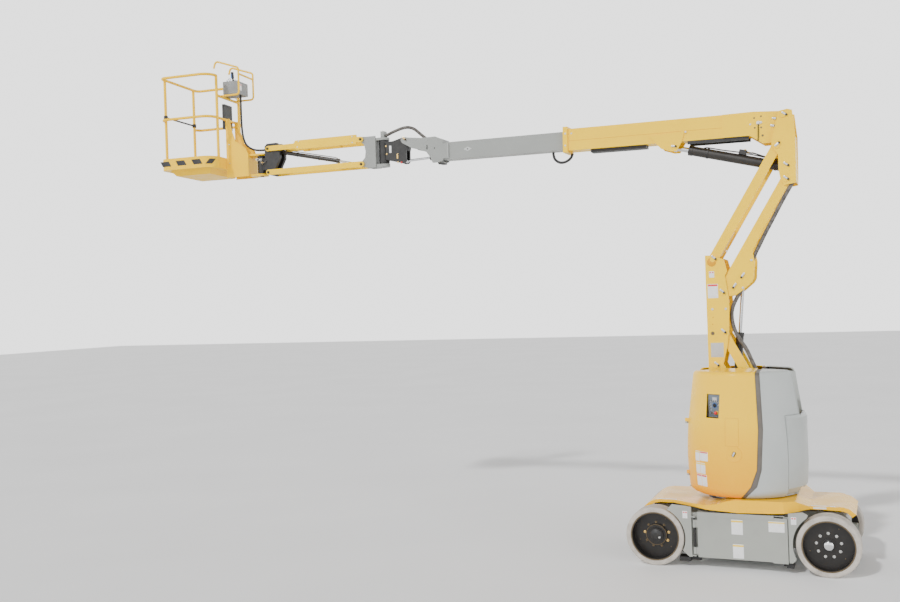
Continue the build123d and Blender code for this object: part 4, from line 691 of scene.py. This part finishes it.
def hood_round(azimuth, z, profile, sides=48):
    """Round form on the covers: P(r, t) lies at (a + r cos t / R, z + r sin t), proud by h(r)."""
    profile = np.asarray(profile, float)
    t = np.arange(sides) * 2 * math.pi / sides
    across = np.degrees(profile[:, :1] * np.cos(t) / hood_radius(np.array(z)))
    grid = on_hood(azimuth + across, z + profile[:, :1] * np.sin(t), profile[:, 1:])
    return grid.reshape(-1, 3), quads(len(profile), sides, False, True)


LATCH_AZIMUTH, LATCH_Z = -94.5, 1.15
LATCH_RIM = [(0.0790, 0.0), (0.0775, 0.0030), (0.0745, 0.0042), (0.0715, 0.0036), (0.0680, 0.0024)]
LATCH_DISH = [(0.0680, 0.0024), (0.0600, 0.0014), (0.0450, 0.0009), (0.0250, 0.0007), (0.0, 0.0006)]
piece("hood_outline", [hood_loop(-96.0, 6.4, 1.229, 1.501, 0.0013, 0.0004)], "line_orange",
      "front_cover_left")
for name, profile in (("latch_rim", LATCH_RIM), ("latch_dish", LATCH_DISH)):
    piece(name, [hood_round(LATCH_AZIMUTH, LATCH_Z, profile)], "hood_yellow", "front_cover_left", 60.0)
latch_place = on_hood(LATCH_AZIMUTH, LATCH_Z, 0.0)
latch_out = unit((latch_place - HOOD_MIDDLE) * (1, 1, 0))
latch_up = unit(0.5 * np.cross(UP, latch_out) + UP)
latch_across = np.cross(latch_up, latch_out)
plate("latch_seat", rounded(0.030, 0.052, 0.008), latch_place, latch_across, latch_up, 0.006, "dull_bolt",
      "front_cover_left")
plate("latch_handle", rounded(0.014, 0.046, 0.006), latch_place + 0.006 * latch_out, latch_across, latch_up,
      0.010, "zinc", "front_cover_left")

# ------------------------------------------------------------------ ground control panel, in its window
PANEL_WAY, PANEL_RADIUS, PANEL_Z = math.radians(-116.6), 0.525, 1.612
panel_out = np.array([math.cos(PANEL_WAY), math.sin(PANEL_WAY), 0.0])
panel_across = np.cross(UP, panel_out)


def on_panel(spots, out=0.0):
    """Places on the face of the ground control panel from their (across, up)."""
    across, up = np.atleast_2d(spots).T
    middle = HOOD_MIDDLE + PANEL_Z * UP + (PANEL_RADIUS + out) * panel_out
    return middle + np.outer(across, panel_across) + np.outer(up, UP)


def panel_knob(name, profile, spots, out, sides, finish, lean=0.0, closed=False):
    """Turned controls of the panel, leaning up a little if asked."""
    turning(name, profile, on_panel(spots, out), panel_out + lean * UP, sides, finish, "turret",
            closed=closed)


def panel_plate(name, outline, spots, out, depth, finish):
    """A flat part of the panel."""
    plate(name, outline, on_panel(spots, out), panel_across, UP, depth, finish, "turret")


SWITCHES = [(-0.045, 0.044), (-0.045, 0.015), (-0.045, -0.014), (0.046, 0.040), (0.046, 0.012),
            (-0.024, 0.046), (0.000, 0.048), (0.024, 0.046), (-0.045, -0.042)]
DIAL, STOP, KEY = (0.004, 0.004), (0.026, -0.068), (-0.022, -0.070)
panel_plate("panel_plate", rounded(0.130, 0.214, 0.010), (0, 0), 0.0, 0.003, "panel_blue")
panel_plate("panel_screen", rounded(0.052, 0.030, 0.003), (0.006, 0.070), 0.003, 0.003, "label_grey")
panel_knob("panel_switch_seats", [(0, 0), (0.0085, 0), (0.0085, 0.002), (0.006, 0.004), (0, 0.004)],
           SWITCHES, 0.003, 20, "zinc")
panel_knob("panel_switches", [(0, 0), (0.0032, 0), (0.0040, 0.012), (0.0030, 0.015), (0, 0.0155)], SWITCHES,
           0.006, 14, "black_plastic", lean=0.4)
panel_knob("panel_dial", [(0, 0), (0.021, 0), (0.021, 0.004), (0.018, 0.006), (0.013, 0.006), (0.012, 0.014),
                          (0.010, 0.016), (0, 0.016)], DIAL, 0.003, 36, "black_plastic")
panel_knob("panel_dial_ring", [(0.021, 0), (0.026, 0), (0.026, 0.002), (0.021, 0.002)], DIAL, 0.003, 36,
           "blue_plastic", closed=True)
panel_knob("panel_stop_collar", [(0, 0), (0.020, 0), (0.020, 0.004), (0.017, 0.006), (0, 0.006)], STOP,
           0.003, 32, "amber_plastic")
panel_knob("panel_stop_button", [(0, 0), (0.009, 0), (0.009, 0.010), (0.0165, 0.012), (0.0165, 0.018),
                                 (0.013, 0.0225), (0.006, 0.0245), (0, 0.025)], STOP, 0.009, 32,
           "red_plastic")
panel_knob("panel_key_switch", [(0, 0), (0.011, 0), (0.011, 0.006), (0.009, 0.008), (0, 0.008)], KEY, 0.003,
           28, "zinc")
panel_plate("panel_key", rounded(0.003, 0.018, 0.001, 3), KEY, 0.010, 0.016, "dull_bolt")


# ------------------------------------------------------------------ arms: pin keepers, bolts, holes
KEEPER_DEPTH = 0.012
MAST_FACE, RAIL_FACE, TAIL_FACE = 0.160, 0.139, 0.109


def keepers(name, places, body, slant=-42.0, length=0.064, finish="zinc", head=0.011):
    """Keeper plates beside the pins of a near face, each with its dark bolt at the lower end."""
    a = math.radians(slant)
    way = np.array([math.cos(a), 0.0, math.sin(a)])
    places = np.atleast_2d(places)
    plate(f"{name}_keepers", rounded(length, 0.021, 0.009), places, way, np.cross(NEAR, way), KEEPER_DEPTH,
          finish, body)
    low = places + 0.36 * length * way + KEEPER_DEPTH * NEAR
    high = places - 0.30 * length * way + KEEPER_DEPTH * NEAR
    bolts(f"{name}_keeper_bolts", low, NEAR, 0.0095, head, "enamel_black", body)
    bolts(f"{name}_keeper_studs", high, NEAR, 0.0062, 0.006, "zinc", body)


mast_pins = [(-0.206, 3.107), (-0.132, 2.757), (-0.133, 2.349), (-0.213, 2.010)]
pin_shadow_disc = [(0.0, 0.0), (0.045, 0.0), (0.045, 0.004), (0.042, 0.006), (0.0, 0.0065)]
keepers("mast", on_near(mast_pins, MAST_FACE), "mast")
# a darker orange disc set below and left of the top pin, so that a crescent shows beside it: painted shadow
# of the pin
turning("mast_top_pin_shadow_disc", pin_shadow_disc, machine(-0.232, -MAST_FACE, 3.062), NEAR, 40, "line_orange", "mast")
bolts("mast_bolts", on_near([(-0.240, 2.575), (-0.106, 2.575)], MAST_FACE), NEAR, 0.010, 0.009, "zinc",
      "mast")
# the holes are thin dark discs on the face: painted shade in the hollows
turning("mast_small_hole_shades", spot(0.006), on_near([(-0.236, 2.490), (-0.242, 2.420)], MAST_FACE), NEAR, 16,
        "line_orange", "mast")
turning("mast_hole_shade", spot(0.019), machine(-0.245, -MAST_FACE, 2.326), NEAR, 28, "dull_bolt", "mast")

keepers("rod_eye", on_near([(0.072, 2.912), (-0.013, 2.809)], RAIL_FACE), "upper_link_rear", slant=-125.0)
bolts("bracket_bolts", on_near([(0.069, 2.784), (0.163, 3.063)], RAIL_FACE), NEAR, 0.010, 0.010, "zinc",
      "upper_link_rear")
bolts("front_link_bolt", on_near([(-0.078, 3.168)], RAIL_FACE), NEAR, 0.008, 0.007, "zinc",
      "upper_link_front")
column_pins = [(0.530, 3.869), (0.535, 4.007), (0.534, 4.514)]
keepers("column", on_near(column_pins, MAST_FACE), "column", slant=-36.0, head=0.006)
keepers("column_front", on_near([(0.456, 4.214)], MAST_FACE), "column", slant=38.0)
plate("column_edge", rounded(0.300, 0.470, 0.020), machine(0.6165, 0.0, 4.060), FAR, UP, 0.0035,
      "boom_yellow", "column")

# ------------------------------------------------------------------ boom
keepers("boom_tail", boom_side([(-0.080, -0.022), (-0.098, -0.094)], TAIL_FACE), "outer_boom", slant=-12.0,
        length=0.056)
keepers("boom_lug", boom_side([(-1.098, -0.222)], 0.107), "outer_boom", slant=-8.0, length=0.056)
tail_holes = [(-0.282, 0.0), (-0.214, -0.102), (-0.277, -0.100), (-0.215, 0.012)]
# the holes are thin dark discs on the face: painted shade in the hollows
turning("boom_tail_hole_shades", spot(0.0095), boom_side(tail_holes, TAIL_FACE), NEAR, 20, "dull_bolt",
        "outer_boom")
turning("boom_tail_large_hole_shade", spot(0.012), boom_side([(-0.202, -0.184)], TAIL_FACE), NEAR, 24, "dull_bolt",
        "outer_boom")
bolts("boom_side_bolts", boom_side([(-0.321, -0.062), (-0.975, -0.082)], TAIL_FACE), NEAR, 0.008, 0.007,
      "zinc", "outer_boom")
tail_route = [(-0.246, -0.235), (-0.244, -0.190), (-0.243, -0.120), (-0.243, -0.062)]
pipe("tail_pipe", boom_side(tail_route, 0.116), 0.0055, AHEAD, "black_plastic", "outer_boom")
piece("tail_fitting", hex_bolts(boom_side([(-0.243, -0.052)], TAIL_FACE), NEAR, 0.016, 0.018)
      + hex_bolts(boom_side([(-0.218, -0.050)], TAIL_FACE), NEAR, 0.011, 0.014), "zinc", "outer_boom")

OUTER_SEAM_Y, INNER_CREASE_Y, INNER_FACE_Y, GOOSENECK_EDGE_Y = 0.0952, 0.0791, 0.080, 0.0945
for side, way in (("near", -1.0), ("far", 1.0)):
    # the crease along the outer boom is a thin bead in darker orange: the bead is real, its colour is
    # painted shade in the crease
    bead = [on_boom(u, way * OUTER_SEAM_Y, -0.070) for u in np.linspace(-2.25, -0.44, 8)]
    pipe(f"outer_boom_seam_shade_{side}", bead, 0.0014, FAR, "line_orange", "outer_boom", 8, 4)
    for low in (-0.030, -0.100):
        bead = [on_boom(u, way * INNER_CREASE_Y, low) for u in np.linspace(-3.69, -2.33, 8)]
        pipe(f"inner_boom_crease_{side}_{round(-low * 1000)}", bead, 0.0011, FAR, "chassis_grey",
             "inner_boom", 8, 4)
    edge = [on_boom(-3.700, way * GOOSENECK_EDGE_Y, w) for w in (-0.150, -0.09, -0.04, 0.025)]
    pipe(f"gooseneck_edge_{side}", edge, 0.0042, AHEAD, "edge_grey", "inner_boom", 10, 4)
    # a diamond plate over the wear pad, its bolt sunk so that it clears the outer boom
    out = way * FAR
    diamond = [(0.052, 0.0), (0.0, 0.026), (-0.052, 0.0), (0.0, -0.026)]
    pad = on_boom(-3.46, way * INNER_FACE_Y, -0.060)
    plate(f"wear_pad_mark_{side}", diamond, pad, np.cross(BOOM_UP, out), BOOM_UP, 0.0016, "edge_grey",
          "inner_boom", 0.0006)
    bolts(f"wear_pad_bolt_{side}", pad - 0.0038 * out, out, 0.0095, 0.006, "enamel_black", "inner_boom")
bolts("collar_bolts", boom_side([(-2.280, 0.008), (-2.280, -0.122)], 0.117), NEAR, 0.0085, 0.007, "zinc",
      "outer_boom")
bolts("collar_side_bolt", boom_side([(-2.216, 0.009)], 0.095), NEAR, 0.008, 0.007, "zinc", "outer_boom")
loop = [(-2.225, -0.200), (-2.251, -0.252), (-2.310, -0.288), (-2.376, -0.290), (-2.428, -0.255),
        (-2.446, -0.208), (-2.450, -0.172)]
pipe("boom_hose_loop", boom_side(loop, 0.02), 0.0150, FAR, "hose_black", "outer_boom", 14)
plate("gooseneck_rubber", rounded(0.055, 0.150, 0.006), on_boom(-3.815, 0.0, -0.1905), BOOM_BACK, NEAR,
      0.014, "black_plastic", "inner_boom", 0.003)


# ------------------------------------------------------------------ cylinders: pipes, valves, fittings
def beside(foot, eye):
    """For a cylinder between two pins: places along, up from and across it, the way along, the way up."""
    start, stop = machine(foot[0], 0, foot[1]), machine(eye[0], 0, eye[1])
    along = unit(stop - start)
    above = np.cross(along, FAR)
    above = above * np.sign(above[2])

    def places(points, across):
        return [start + s * along + high * above + across * FAR for s, high in points]

    return places, along, above


boom_lug = on_boom(-1.107, 0, -0.225) - machine(0, 0, 0)
places, along, above = beside((0.519, 3.995), (boom_lug[0], boom_lug[2]))
body = "boom_cylinder_barrel"
plate("boom_valve_block", rounded(0.078, 0.060, 0.005), places([(0.452, 0.049)], 0.0), along,
      np.cross(above, along), 0.050, "enamel_black", body, 0.003)
pipe("boom_pipe_long", places([(0.48, 0.068), (0.52, 0.066), (0.66, 0.060), (0.80, 0.059), (0.84, 0.052),
                               (0.845, 0.042)], -0.012), 0.0065, FAR, "cylinder_black", body)
upper_run = places([(0.42, 0.080), (0.34, 0.083)], 0.012) + places([(0.24, 0.070)], 0.010)
upper_run += places([(0.14, 0.064)], 0.008) + places([(0.05, 0.064)], 0.006)
pipe("boom_pipe_short", upper_run, 0.0075, FAR, "black_plastic", body)
lower_run = places([(0.42, 0.066)], -0.016) + places([(0.30, 0.062), (0.18, 0.058)], -0.018)
pipe("boom_pipe_lower", lower_run + places([(0.08, 0.058)], -0.016), 0.0060, FAR, "black_plastic", body)
unions = places([(0.412, 0.080)], 0.012) + places([(0.412, 0.066)], -0.016)
piece("boom_valve_fittings", hex_bolts(unions, -along, 0.0115, 0.030)
      + hex_bolts(places([(0.366, 0.084)], 0.012), -along, 0.0100, 0.020), "zinc", body)
bolts("boom_valve_cap", places([(0.436, 0.098)], 0.0), above, 0.010, 0.012, "amber_plastic", body)
band = [(0.0495, -0.010), (0.0535, -0.010), (0.0545, -0.008), (0.0545, 0.008), (0.0535, 0.010),
        (0.0495, 0.010)]
turning("boom_cylinder_band", band, places([(0.80, 0.0), (0.10, 0.0)], 0.0), along, 48, "enamel_black", body,
        closed=True)

places, along, above = beside((-5.575, 4.732), (-4.327, 4.451))
body = "jib_cylinder_barrel"
pipe("jib_pipe", places([(0.10, 0.024), (0.12, 0.035), (0.20, 0.036), (0.60, 0.036), (0.84, 0.036),
                         (0.87, 0.024)], 0.010), 0.005, FAR, "cylinder_black", body)
bolts("jib_pipe_fittings", places([(0.10, 0.024), (0.87, 0.024)], 0.010), above, 0.009, 0.012, "zinc", body)
band = [(0.0245, -0.007), (0.0275, -0.006), (0.0275, 0.006), (0.0245, 0.007)]
turning("jib_cylinder_band", band, places([(0.30, 0.0), (0.62, 0.0)], 0.0), along, 36, "enamel_black", body,
        closed=True)

places, along, above = beside((-0.047, 1.700), (0.060, 2.903))
front_run = [(0.14, 0.0), (0.16, 0.0), (0.30, 0.0), (0.52, 0.0), (0.57, 0.0), (0.585, 0.0)]
away = np.array([-0.040, -0.050, -0.050, -0.050, -0.050, -0.038])
pipe("arm_pipe", places(front_run, 0.0) + away[:, None] * FAR, 0.0055, along + 3 * AHEAD, "cylinder_black",
     "arm_cylinder_barrel")
places, along, above = beside((-2.950, 4.472), (-3.772, 4.449))
bolts("levelling_fitting", places([(0.440, 0.028)], 0.0), above, 0.009, 0.016, "zinc",
      "levelling_cylinder_barrel")

# ------------------------------------------------------------------ knuckle and jib
BRACKET_SIDE, JIB_PIN_FACE, JIB_LINK_FACE = 0.062, 0.111, 0.103
brass = on_near([(-4.006, 4.640), (-3.998, 4.546), (-3.856, 4.525), (-3.852, 4.434)], BRACKET_SIDE)
bolts("bracket_brass_bolts", brass, NEAR, 0.0085, 0.008, "brass_plate", "knuckle_bracket")
plate("bracket_brass_strip", rounded(0.018, 0.060, 0.006), machine(-3.856, -BRACKET_SIDE, 4.505), AHEAD, UP,
      0.003, "brass_plate", "knuckle_bracket")
keepers("knuckle", on_near([(-3.742, 4.700)], 0.094), "inner_boom", slant=-40.0, length=0.060,
        finish="brass_plate")
turning("levelling_cap", dome(0.013, 0.008), machine(-3.806, -BRACKET_SIDE, 4.426), NEAR, 24, "red_plastic",
        "knuckle_bracket")
bolts("jib_head_pin_bolts", on_near([(-4.328, 4.750), (-4.327, 4.451)], JIB_PIN_FACE), NEAR, 0.013, 0.010,
      "enamel_black", "jib_head")
bolts("jib_block_pin_bolts", on_near([(-5.661, 4.765), (-5.660, 4.466)], JIB_PIN_FACE), NEAR, 0.013, 0.010,
      "enamel_black", "jib_block")
link_bolts = [(-4.44, 4.793), (-5.20, 4.812), (-5.22, 4.742), (-4.44, 4.722)]
bolts("jib_link_bolts", on_near(link_bolts, JIB_LINK_FACE), NEAR, 0.0075, 0.006, "zinc", "jib_upper_link")
clamp = machine(-4.0625, 0.0, 4.8251)
plate("hose_clamp_top", rounded(0.052, 0.084, 0.006), clamp, AHEAD, FAR, 0.005, "zinc", "jib_head")
bolts("hose_clamp_bolts", [clamp + (0, -0.028, 0.005), clamp + (0, 0.028, 0.005)], UP, 0.007, 0.007, "zinc",
      "jib_head")
piece("rotator_fittings", hex_bolts(on_near([(-5.845, 4.648), (-5.800, 4.642)], 0.052), NEAR, 0.014, 0.026)
      + hex_bolts(on_near([(-5.845, 4.648)], 0.078), NEAR, 0.011, 0.014), "zinc", "jib_block")
bolts("rotator_brass_fitting", on_near([(-5.778, 4.600)], 0.050), NEAR, 0.012, 0.022, "brass_plate",
      "jib_block")
rotator_route = [(-5.778, -0.066, 4.600), (-5.772, -0.084, 4.592), (-5.752, -0.096, 4.584),
                 (-5.728, -0.098, 4.590), (-5.710, -0.092, 4.606), (-5.702, -0.074, 4.622)]
pipe("rotator_pipe", [machine(*point) for point in rotator_route], 0.0048, (0.1, 0.2, 1.0), "hose_grey",
     "jib_block")

# ------------------------------------------------------------------ cage
TOE_Z, TOE_HEIGHT, TOE_HALF_X, TOE_HALF_Y, TOE_CORNER = 4.6225, 0.064, 0.380, 0.450, 0.170


def toe_stripe(start, way):
    """Slanting black bar on the toe board."""
    half, lean_low, lean_high = 0.5 * TOE_HEIGHT, -0.045, 0.080
    shape = [(lean_low, -half), (lean_high, -half), (-lean_low, half), (-lean_high, half)]
    return slab(shape, start, way, UP, 0.0009, 0.0004)


def corner_stripe(middle, half, radius, sign):
    """The bar that goes round a corner: P(a, z) = centre + R (cos(a + slant z), sin(a + slant z))."""
    u, v = np.meshgrid(np.linspace(-1, 1, 9), np.linspace(-1, 1, 3))
    angle = np.radians(middle + sign * half * u - sign * 9.0 * v)
    lift = 0.0009 * (np.abs(u) < 1) * (np.abs(v) < 1)
    x = TOE_HALF_X - TOE_CORNER + (radius + lift) * np.cos(angle)
    y = sign * (TOE_HALF_Y - TOE_CORNER + (radius + lift) * np.sin(angle * sign))
    z = TOE_Z + 0.5 * TOE_HEIGHT * v
    grid = np.array([on_cage(*point) for point in zip(x.ravel(), y.ravel(), z.ravel())])
    return grid, quads(3, 9)


stripes = []
for x in (-0.300, -0.078, 0.150):
    stripes.append(toe_stripe(on_cage(x, -TOE_HALF_Y, TOE_Z), cage_way(1, 0, 0)))
    stripes.append(toe_stripe(on_cage(-x - 0.10, TOE_HALF_Y, TOE_Z), cage_way(-1, 0, 0)))
for y in (-0.24, 0.0, 0.24):
    stripes.append(toe_stripe(on_cage(-TOE_HALF_X, y, TOE_Z), cage_way(0, -1, 0)))
piece("toe_stripes", stripes, "black_plastic", "cage")
piece("corner_stripes", [corner_stripe(-48.0, 14.0, 0.1706, -1)], "black_plastic", "cage")

BOX_TOP = 5.660
BOOT = [(0.0, 0.0), (0.030, 0.0), (0.030, 0.006), (0.026, 0.012), (0.021, 0.016), (0.023, 0.022),
        (0.017, 0.027), (0.018, 0.032), (0.012, 0.038), (0.0, 0.040)]
GRIP = [(0.0, 0.030), (0.009, 0.030), (0.011, 0.050), (0.016, 0.066), (0.018, 0.090), (0.017, 0.112),
        (0.019, 0.128), (0.015, 0.142), (0.0, 0.146)]
joystick, lean = on_cage(0.470, -0.040, BOX_TOP), unit((-0.10, 0.0, 1.0))
turning("joystick_boot", BOOT, joystick, UP, 32, "black_plastic", "cage", 60.0)
turning("joystick_grip", GRIP, joystick, lean, 28, "black_plastic", "cage", 60.0)
trigger = joystick + 0.088 * lean - 0.006 * AHEAD + 0.013 * NEAR
plate("joystick_trigger", rounded(0.016, 0.060, 0.006), trigger, cage_way(1, 0, 0), UP, 0.008,
      "blue_plastic", "cage", 0.002)
ring = [(0.028, -0.0045), (0.0325, 0.0), (0.028, 0.0045), (0.0235, 0.0)]
turning("control_ring", ring, on_cage(0.435, -0.080, BOX_TOP + 0.022), (0.2, 1.0, 0.0), 28, "blue_plastic",
        "cage", 60.0, closed=True)
turning("cage_stop_collar", [(0, 0), (0.022, 0), (0.022, 0.004), (0.018, 0.007), (0, 0.007)],
        on_cage(0.505, 0.040, BOX_TOP), UP, 32, "amber_plastic", "cage")
turning("cage_stop_button", [(0, 0), (0.009, 0), (0.009, 0.012), (0.019, 0.015), (0.019, 0.021),
                             (0.014, 0.026), (0, 0.028)],
        on_cage(0.505, 0.040, BOX_TOP + 0.007), UP, 32, "red_plastic", "cage")
toggles = np.array([on_cage(x, y, BOX_TOP) for x in (0.42, 0.46, 0.54) for y in (-0.110, 0.085)])
turning("cage_switch_seats", [(0, 0), (0.010, 0), (0.010, 0.003), (0.006, 0.006), (0, 0.006)], toggles, UP,
        20, "zinc", "cage")
turning("cage_switches", [(0, 0), (0.003, 0), (0.0045, 0.018), (0.003, 0.021), (0, 0.0215)],
        toggles + 0.005 * UP, (-0.3, 0.0, 1.0), 14, "black_plastic", "cage")
plate("control_box_lid", rounded(0.208, 0.272, 0.006, 4), on_cage(0.483, -0.015, BOX_TOP - 0.003),
      cage_way(1, 0, 0), cage_way(0, 1, 0), 0.0040, "grey_plastic", "cage")
plate("rail_plate", rounded(0.200, 0.075, 0.008), on_cage(0.215, 0.395, 5.615), cage_way(0.62, 0, -0.78),
      cage_way(0, 1, 0), 0.010, "edge_grey", "cage", 0.002)
plate("rail_plate_clip", rounded(0.022, 0.050, 0.006), on_cage(0.215, 0.400, 5.640), cage_way(1, 0, 0),
      cage_way(0, 1, 0), 0.065, "enamel_black", "cage", 0.002)
bolts("gusset_bolts", [on_cage(0.425, -0.120, 4.86), on_cage(0.425, -0.120, 4.62)], cage_way(0, -1, 0),
      0.007, 0.006, "zinc", "cage")


# ------------------------------------------------------------------ hoses
def hose_line(name, node, body, route, radius, finish, across=None):
    """Hose along its control points, given from the slew axis.

    across, if given, holds a second body and two places, which are not used: the hose is then left as a
    plain mesh in place, riding on no body.
    """
    curve = bpy.data.curves.new(name, "CURVE")
    curve.dimensions = "3D"
    spline = curve.splines.new("NURBS")
    spline.points.add(len(route) - 1)
    for point, at in zip(spline.points, route):
        point.co = (*machine(*at), 1.0)
    spline.order_u = 3
    spline.use_endpoint_u = True
    spline.resolution_u = 10
    curve.materials.append(FINISH[finish])
    obj = bpy.data.objects.new(name, curve)
    if across is not None:
        # the bare line is made into a mesh too, which nothing uses; a piece that bends has to
        # be a mesh
        bare = bpy.data.meshes.new_from_object(obj)
    curve.bevel_depth, curve.bevel_resolution, curve.use_fill_caps = radius, 5, True
    if across is not None:
        skin = bpy.data.meshes.new_from_object(obj)
        bpy.data.objects.remove(obj)
        obj = bpy.data.objects.new(name, skin)
    bpy.context.scene.collection.objects.link(obj)
    if across is None:
        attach(obj, body)
    else:
        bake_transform(obj)
    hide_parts(node)


INSIDE_RAILS, AT_COLUMN, AT_CHEEK = -0.0967, -0.1247, -0.1617
down_link = [(0.588, AT_COLUMN, 3.826), (0.532, -0.122, 3.736), (0.470, -0.118, 3.630),
             (0.385, -0.111, 3.475), (0.310, -0.102, 3.345)]
inside = [(0.241, 3.211), (0.197, 3.130), (0.168, 3.050), (0.137, 2.930), (0.080, 2.812), (0.016, 2.713),
          (-0.043, 2.604), (-0.062, 2.500), (-0.038, 2.360), (0.022, 2.243), (0.075, 2.165), (0.123, 2.045)]
into_turret = [(0.165, -0.100, 1.945), (0.222, -0.128, 1.840), (0.270, -0.152, 1.745),
               (0.304, AT_CHEEK, 1.640)]
hose_line("arm_hose_bundle", "arm_hoses", "mast",
          down_link + [(x, INSIDE_RAILS, z) for x, z in inside] + into_turret, 0.020, "hose_grey",
          ("upper_link_rear", (-0.020, INSIDE_RAILS, 2.640), (0.190, INSIDE_RAILS, 3.120)))
over_knuckle = [(-4.0335, 0, 4.776), (-3.850, 0, 4.846), (-3.680, 0, 4.850), (-3.545, 0, 4.724),
                (-3.405, 0, 4.614)]
into_boom = [tuple(on_boom(u, 0, 0.010) - machine(0, 0, 0)) for u in (-3.806, -3.7063)]
hose_line("tip_hose_bundle", "tip_hose", "knuckle_bracket", over_knuckle + into_boom, 0.018,
          "hose_grey", ("inner_boom", (-3.860, 0, 4.840), (-3.580, 0, 4.760)))
cable_top = on_cage(0.560, -0.026, 5.4997) - machine(0, 0, 0)
to_jib = [(-6.080, -0.050, 5.250), (-6.078, -0.048, 5.100), (-6.068, -0.046, 4.975), (-6.035, -0.042, 4.868),
          (-5.962, -0.034, 4.800), (-5.850, -0.022, 4.766), (-5.7223, -0.022, 4.766)]
hose_line("cage_cable_bundle", "cage_cable", "cage",
          [tuple(cable_top), tuple(cable_top - 0.110 * UP)] + to_jib, 0.013, "hose_black")

# ------------------------------------------------------------------ room, light, camera
GROUND_SIZE, SKY_STRENGTH = 120.0, 2.3
# kind of light: place, turn in degrees, strength, width of the sun's disc
LIGHTS = {
    "key_light": ((-6, -9, 12), (50, -6, -16), 2.1, 0.06),
    "fill_light": ((9, -4, 6), (62, 0, 60), 0.3, 0.4),
}
EYE = (1.3769 + SLEW_X, -10.537, 2.7169)
LENS_MM, SENSOR_MM = 39.31, 36.0
EYE_YAW, EYE_PITCH, EYE_ROLL = math.radians(23.78), 0.0038, math.radians(-2.01)


def studio():
    """Pale floor, a sky bright along the horizon, a key from the camera's left and a weak fill."""
    bpy.ops.mesh.primitive_plane_add(size=GROUND_SIZE, location=(0, 0, 0))
    floor = bpy.context.object
    floor.name = "studio_floor"
    material, tree, shader = new_material("studio_floor")
    tone = ramp(tree, object_noise(tree, 0.4, 2.0), [(0.3, (0.86, 0.86, 0.86)), (0.7, (0.9, 0.9, 0.9))])
    tree.links.new(tone, shader.inputs["Base Color"])
    shader.inputs["Roughness"].default_value = 0.9
    floor.data.materials.append(material)
    world = bpy.data.worlds.new("studio_sky")
    bpy.context.scene.world = world
    world.use_nodes = True
    sky = world.node_tree
    background = sky.nodes["Background"]
    # dim overhead, so that the ground behind reads pale from every side and the paint keeps its colour
    way = sky.nodes.new("ShaderNodeTexCoord")
    height = sky.nodes.new("ShaderNodeSeparateXYZ")
    sky.links.new(way.outputs["Generated"], height.inputs["Vector"])
    glow = ramp(sky, height.outputs["Z"], [(0.36, (1.0, 1.0, 1.0)), (0.62, (0.12, 0.12, 0.12))])
    sky.links.new(glow, background.inputs["Color"])
    background.inputs["Strength"].default_value = SKY_STRENGTH
    for name, (place, turn, strength, width) in LIGHTS.items():
        data = bpy.data.lights.new(name, "SUN")
        data.energy = strength
        data.angle = width
        lamp = bpy.data.objects.new(name, data)
        lamp.location, lamp.rotation_euler = place, np.radians(turn)
        bpy.context.scene.collection.objects.link(lamp)


def camera():
    """The viewpoint: low, a little behind the machine's middle, looking across it."""
    data = bpy.data.cameras.new("view")
    data.sensor_width = SENSOR_MM
    data.lens = LENS_MM
    lens = bpy.data.objects.new("view", data)
    level = np.array([math.cos(EYE_YAW), math.sin(EYE_YAW), 0.0])
    forward = math.cos(EYE_PITCH) * np.cross(UP, level) + math.sin(EYE_PITCH) * UP
    up = np.cross(level, forward)
    right = level * math.cos(EYE_ROLL) + up * math.sin(EYE_ROLL)
    top = up * math.cos(EYE_ROLL) - level * math.sin(EYE_ROLL)
    turn = Matrix([[right[i], top[i], -forward[i]] for i in range(3)]).to_4x4()
    lens.matrix_world = Matrix.Translation(EYE) @ turn
    bpy.context.scene.collection.objects.link(lens)
    bpy.context.scene.camera = lens


studio()
camera()
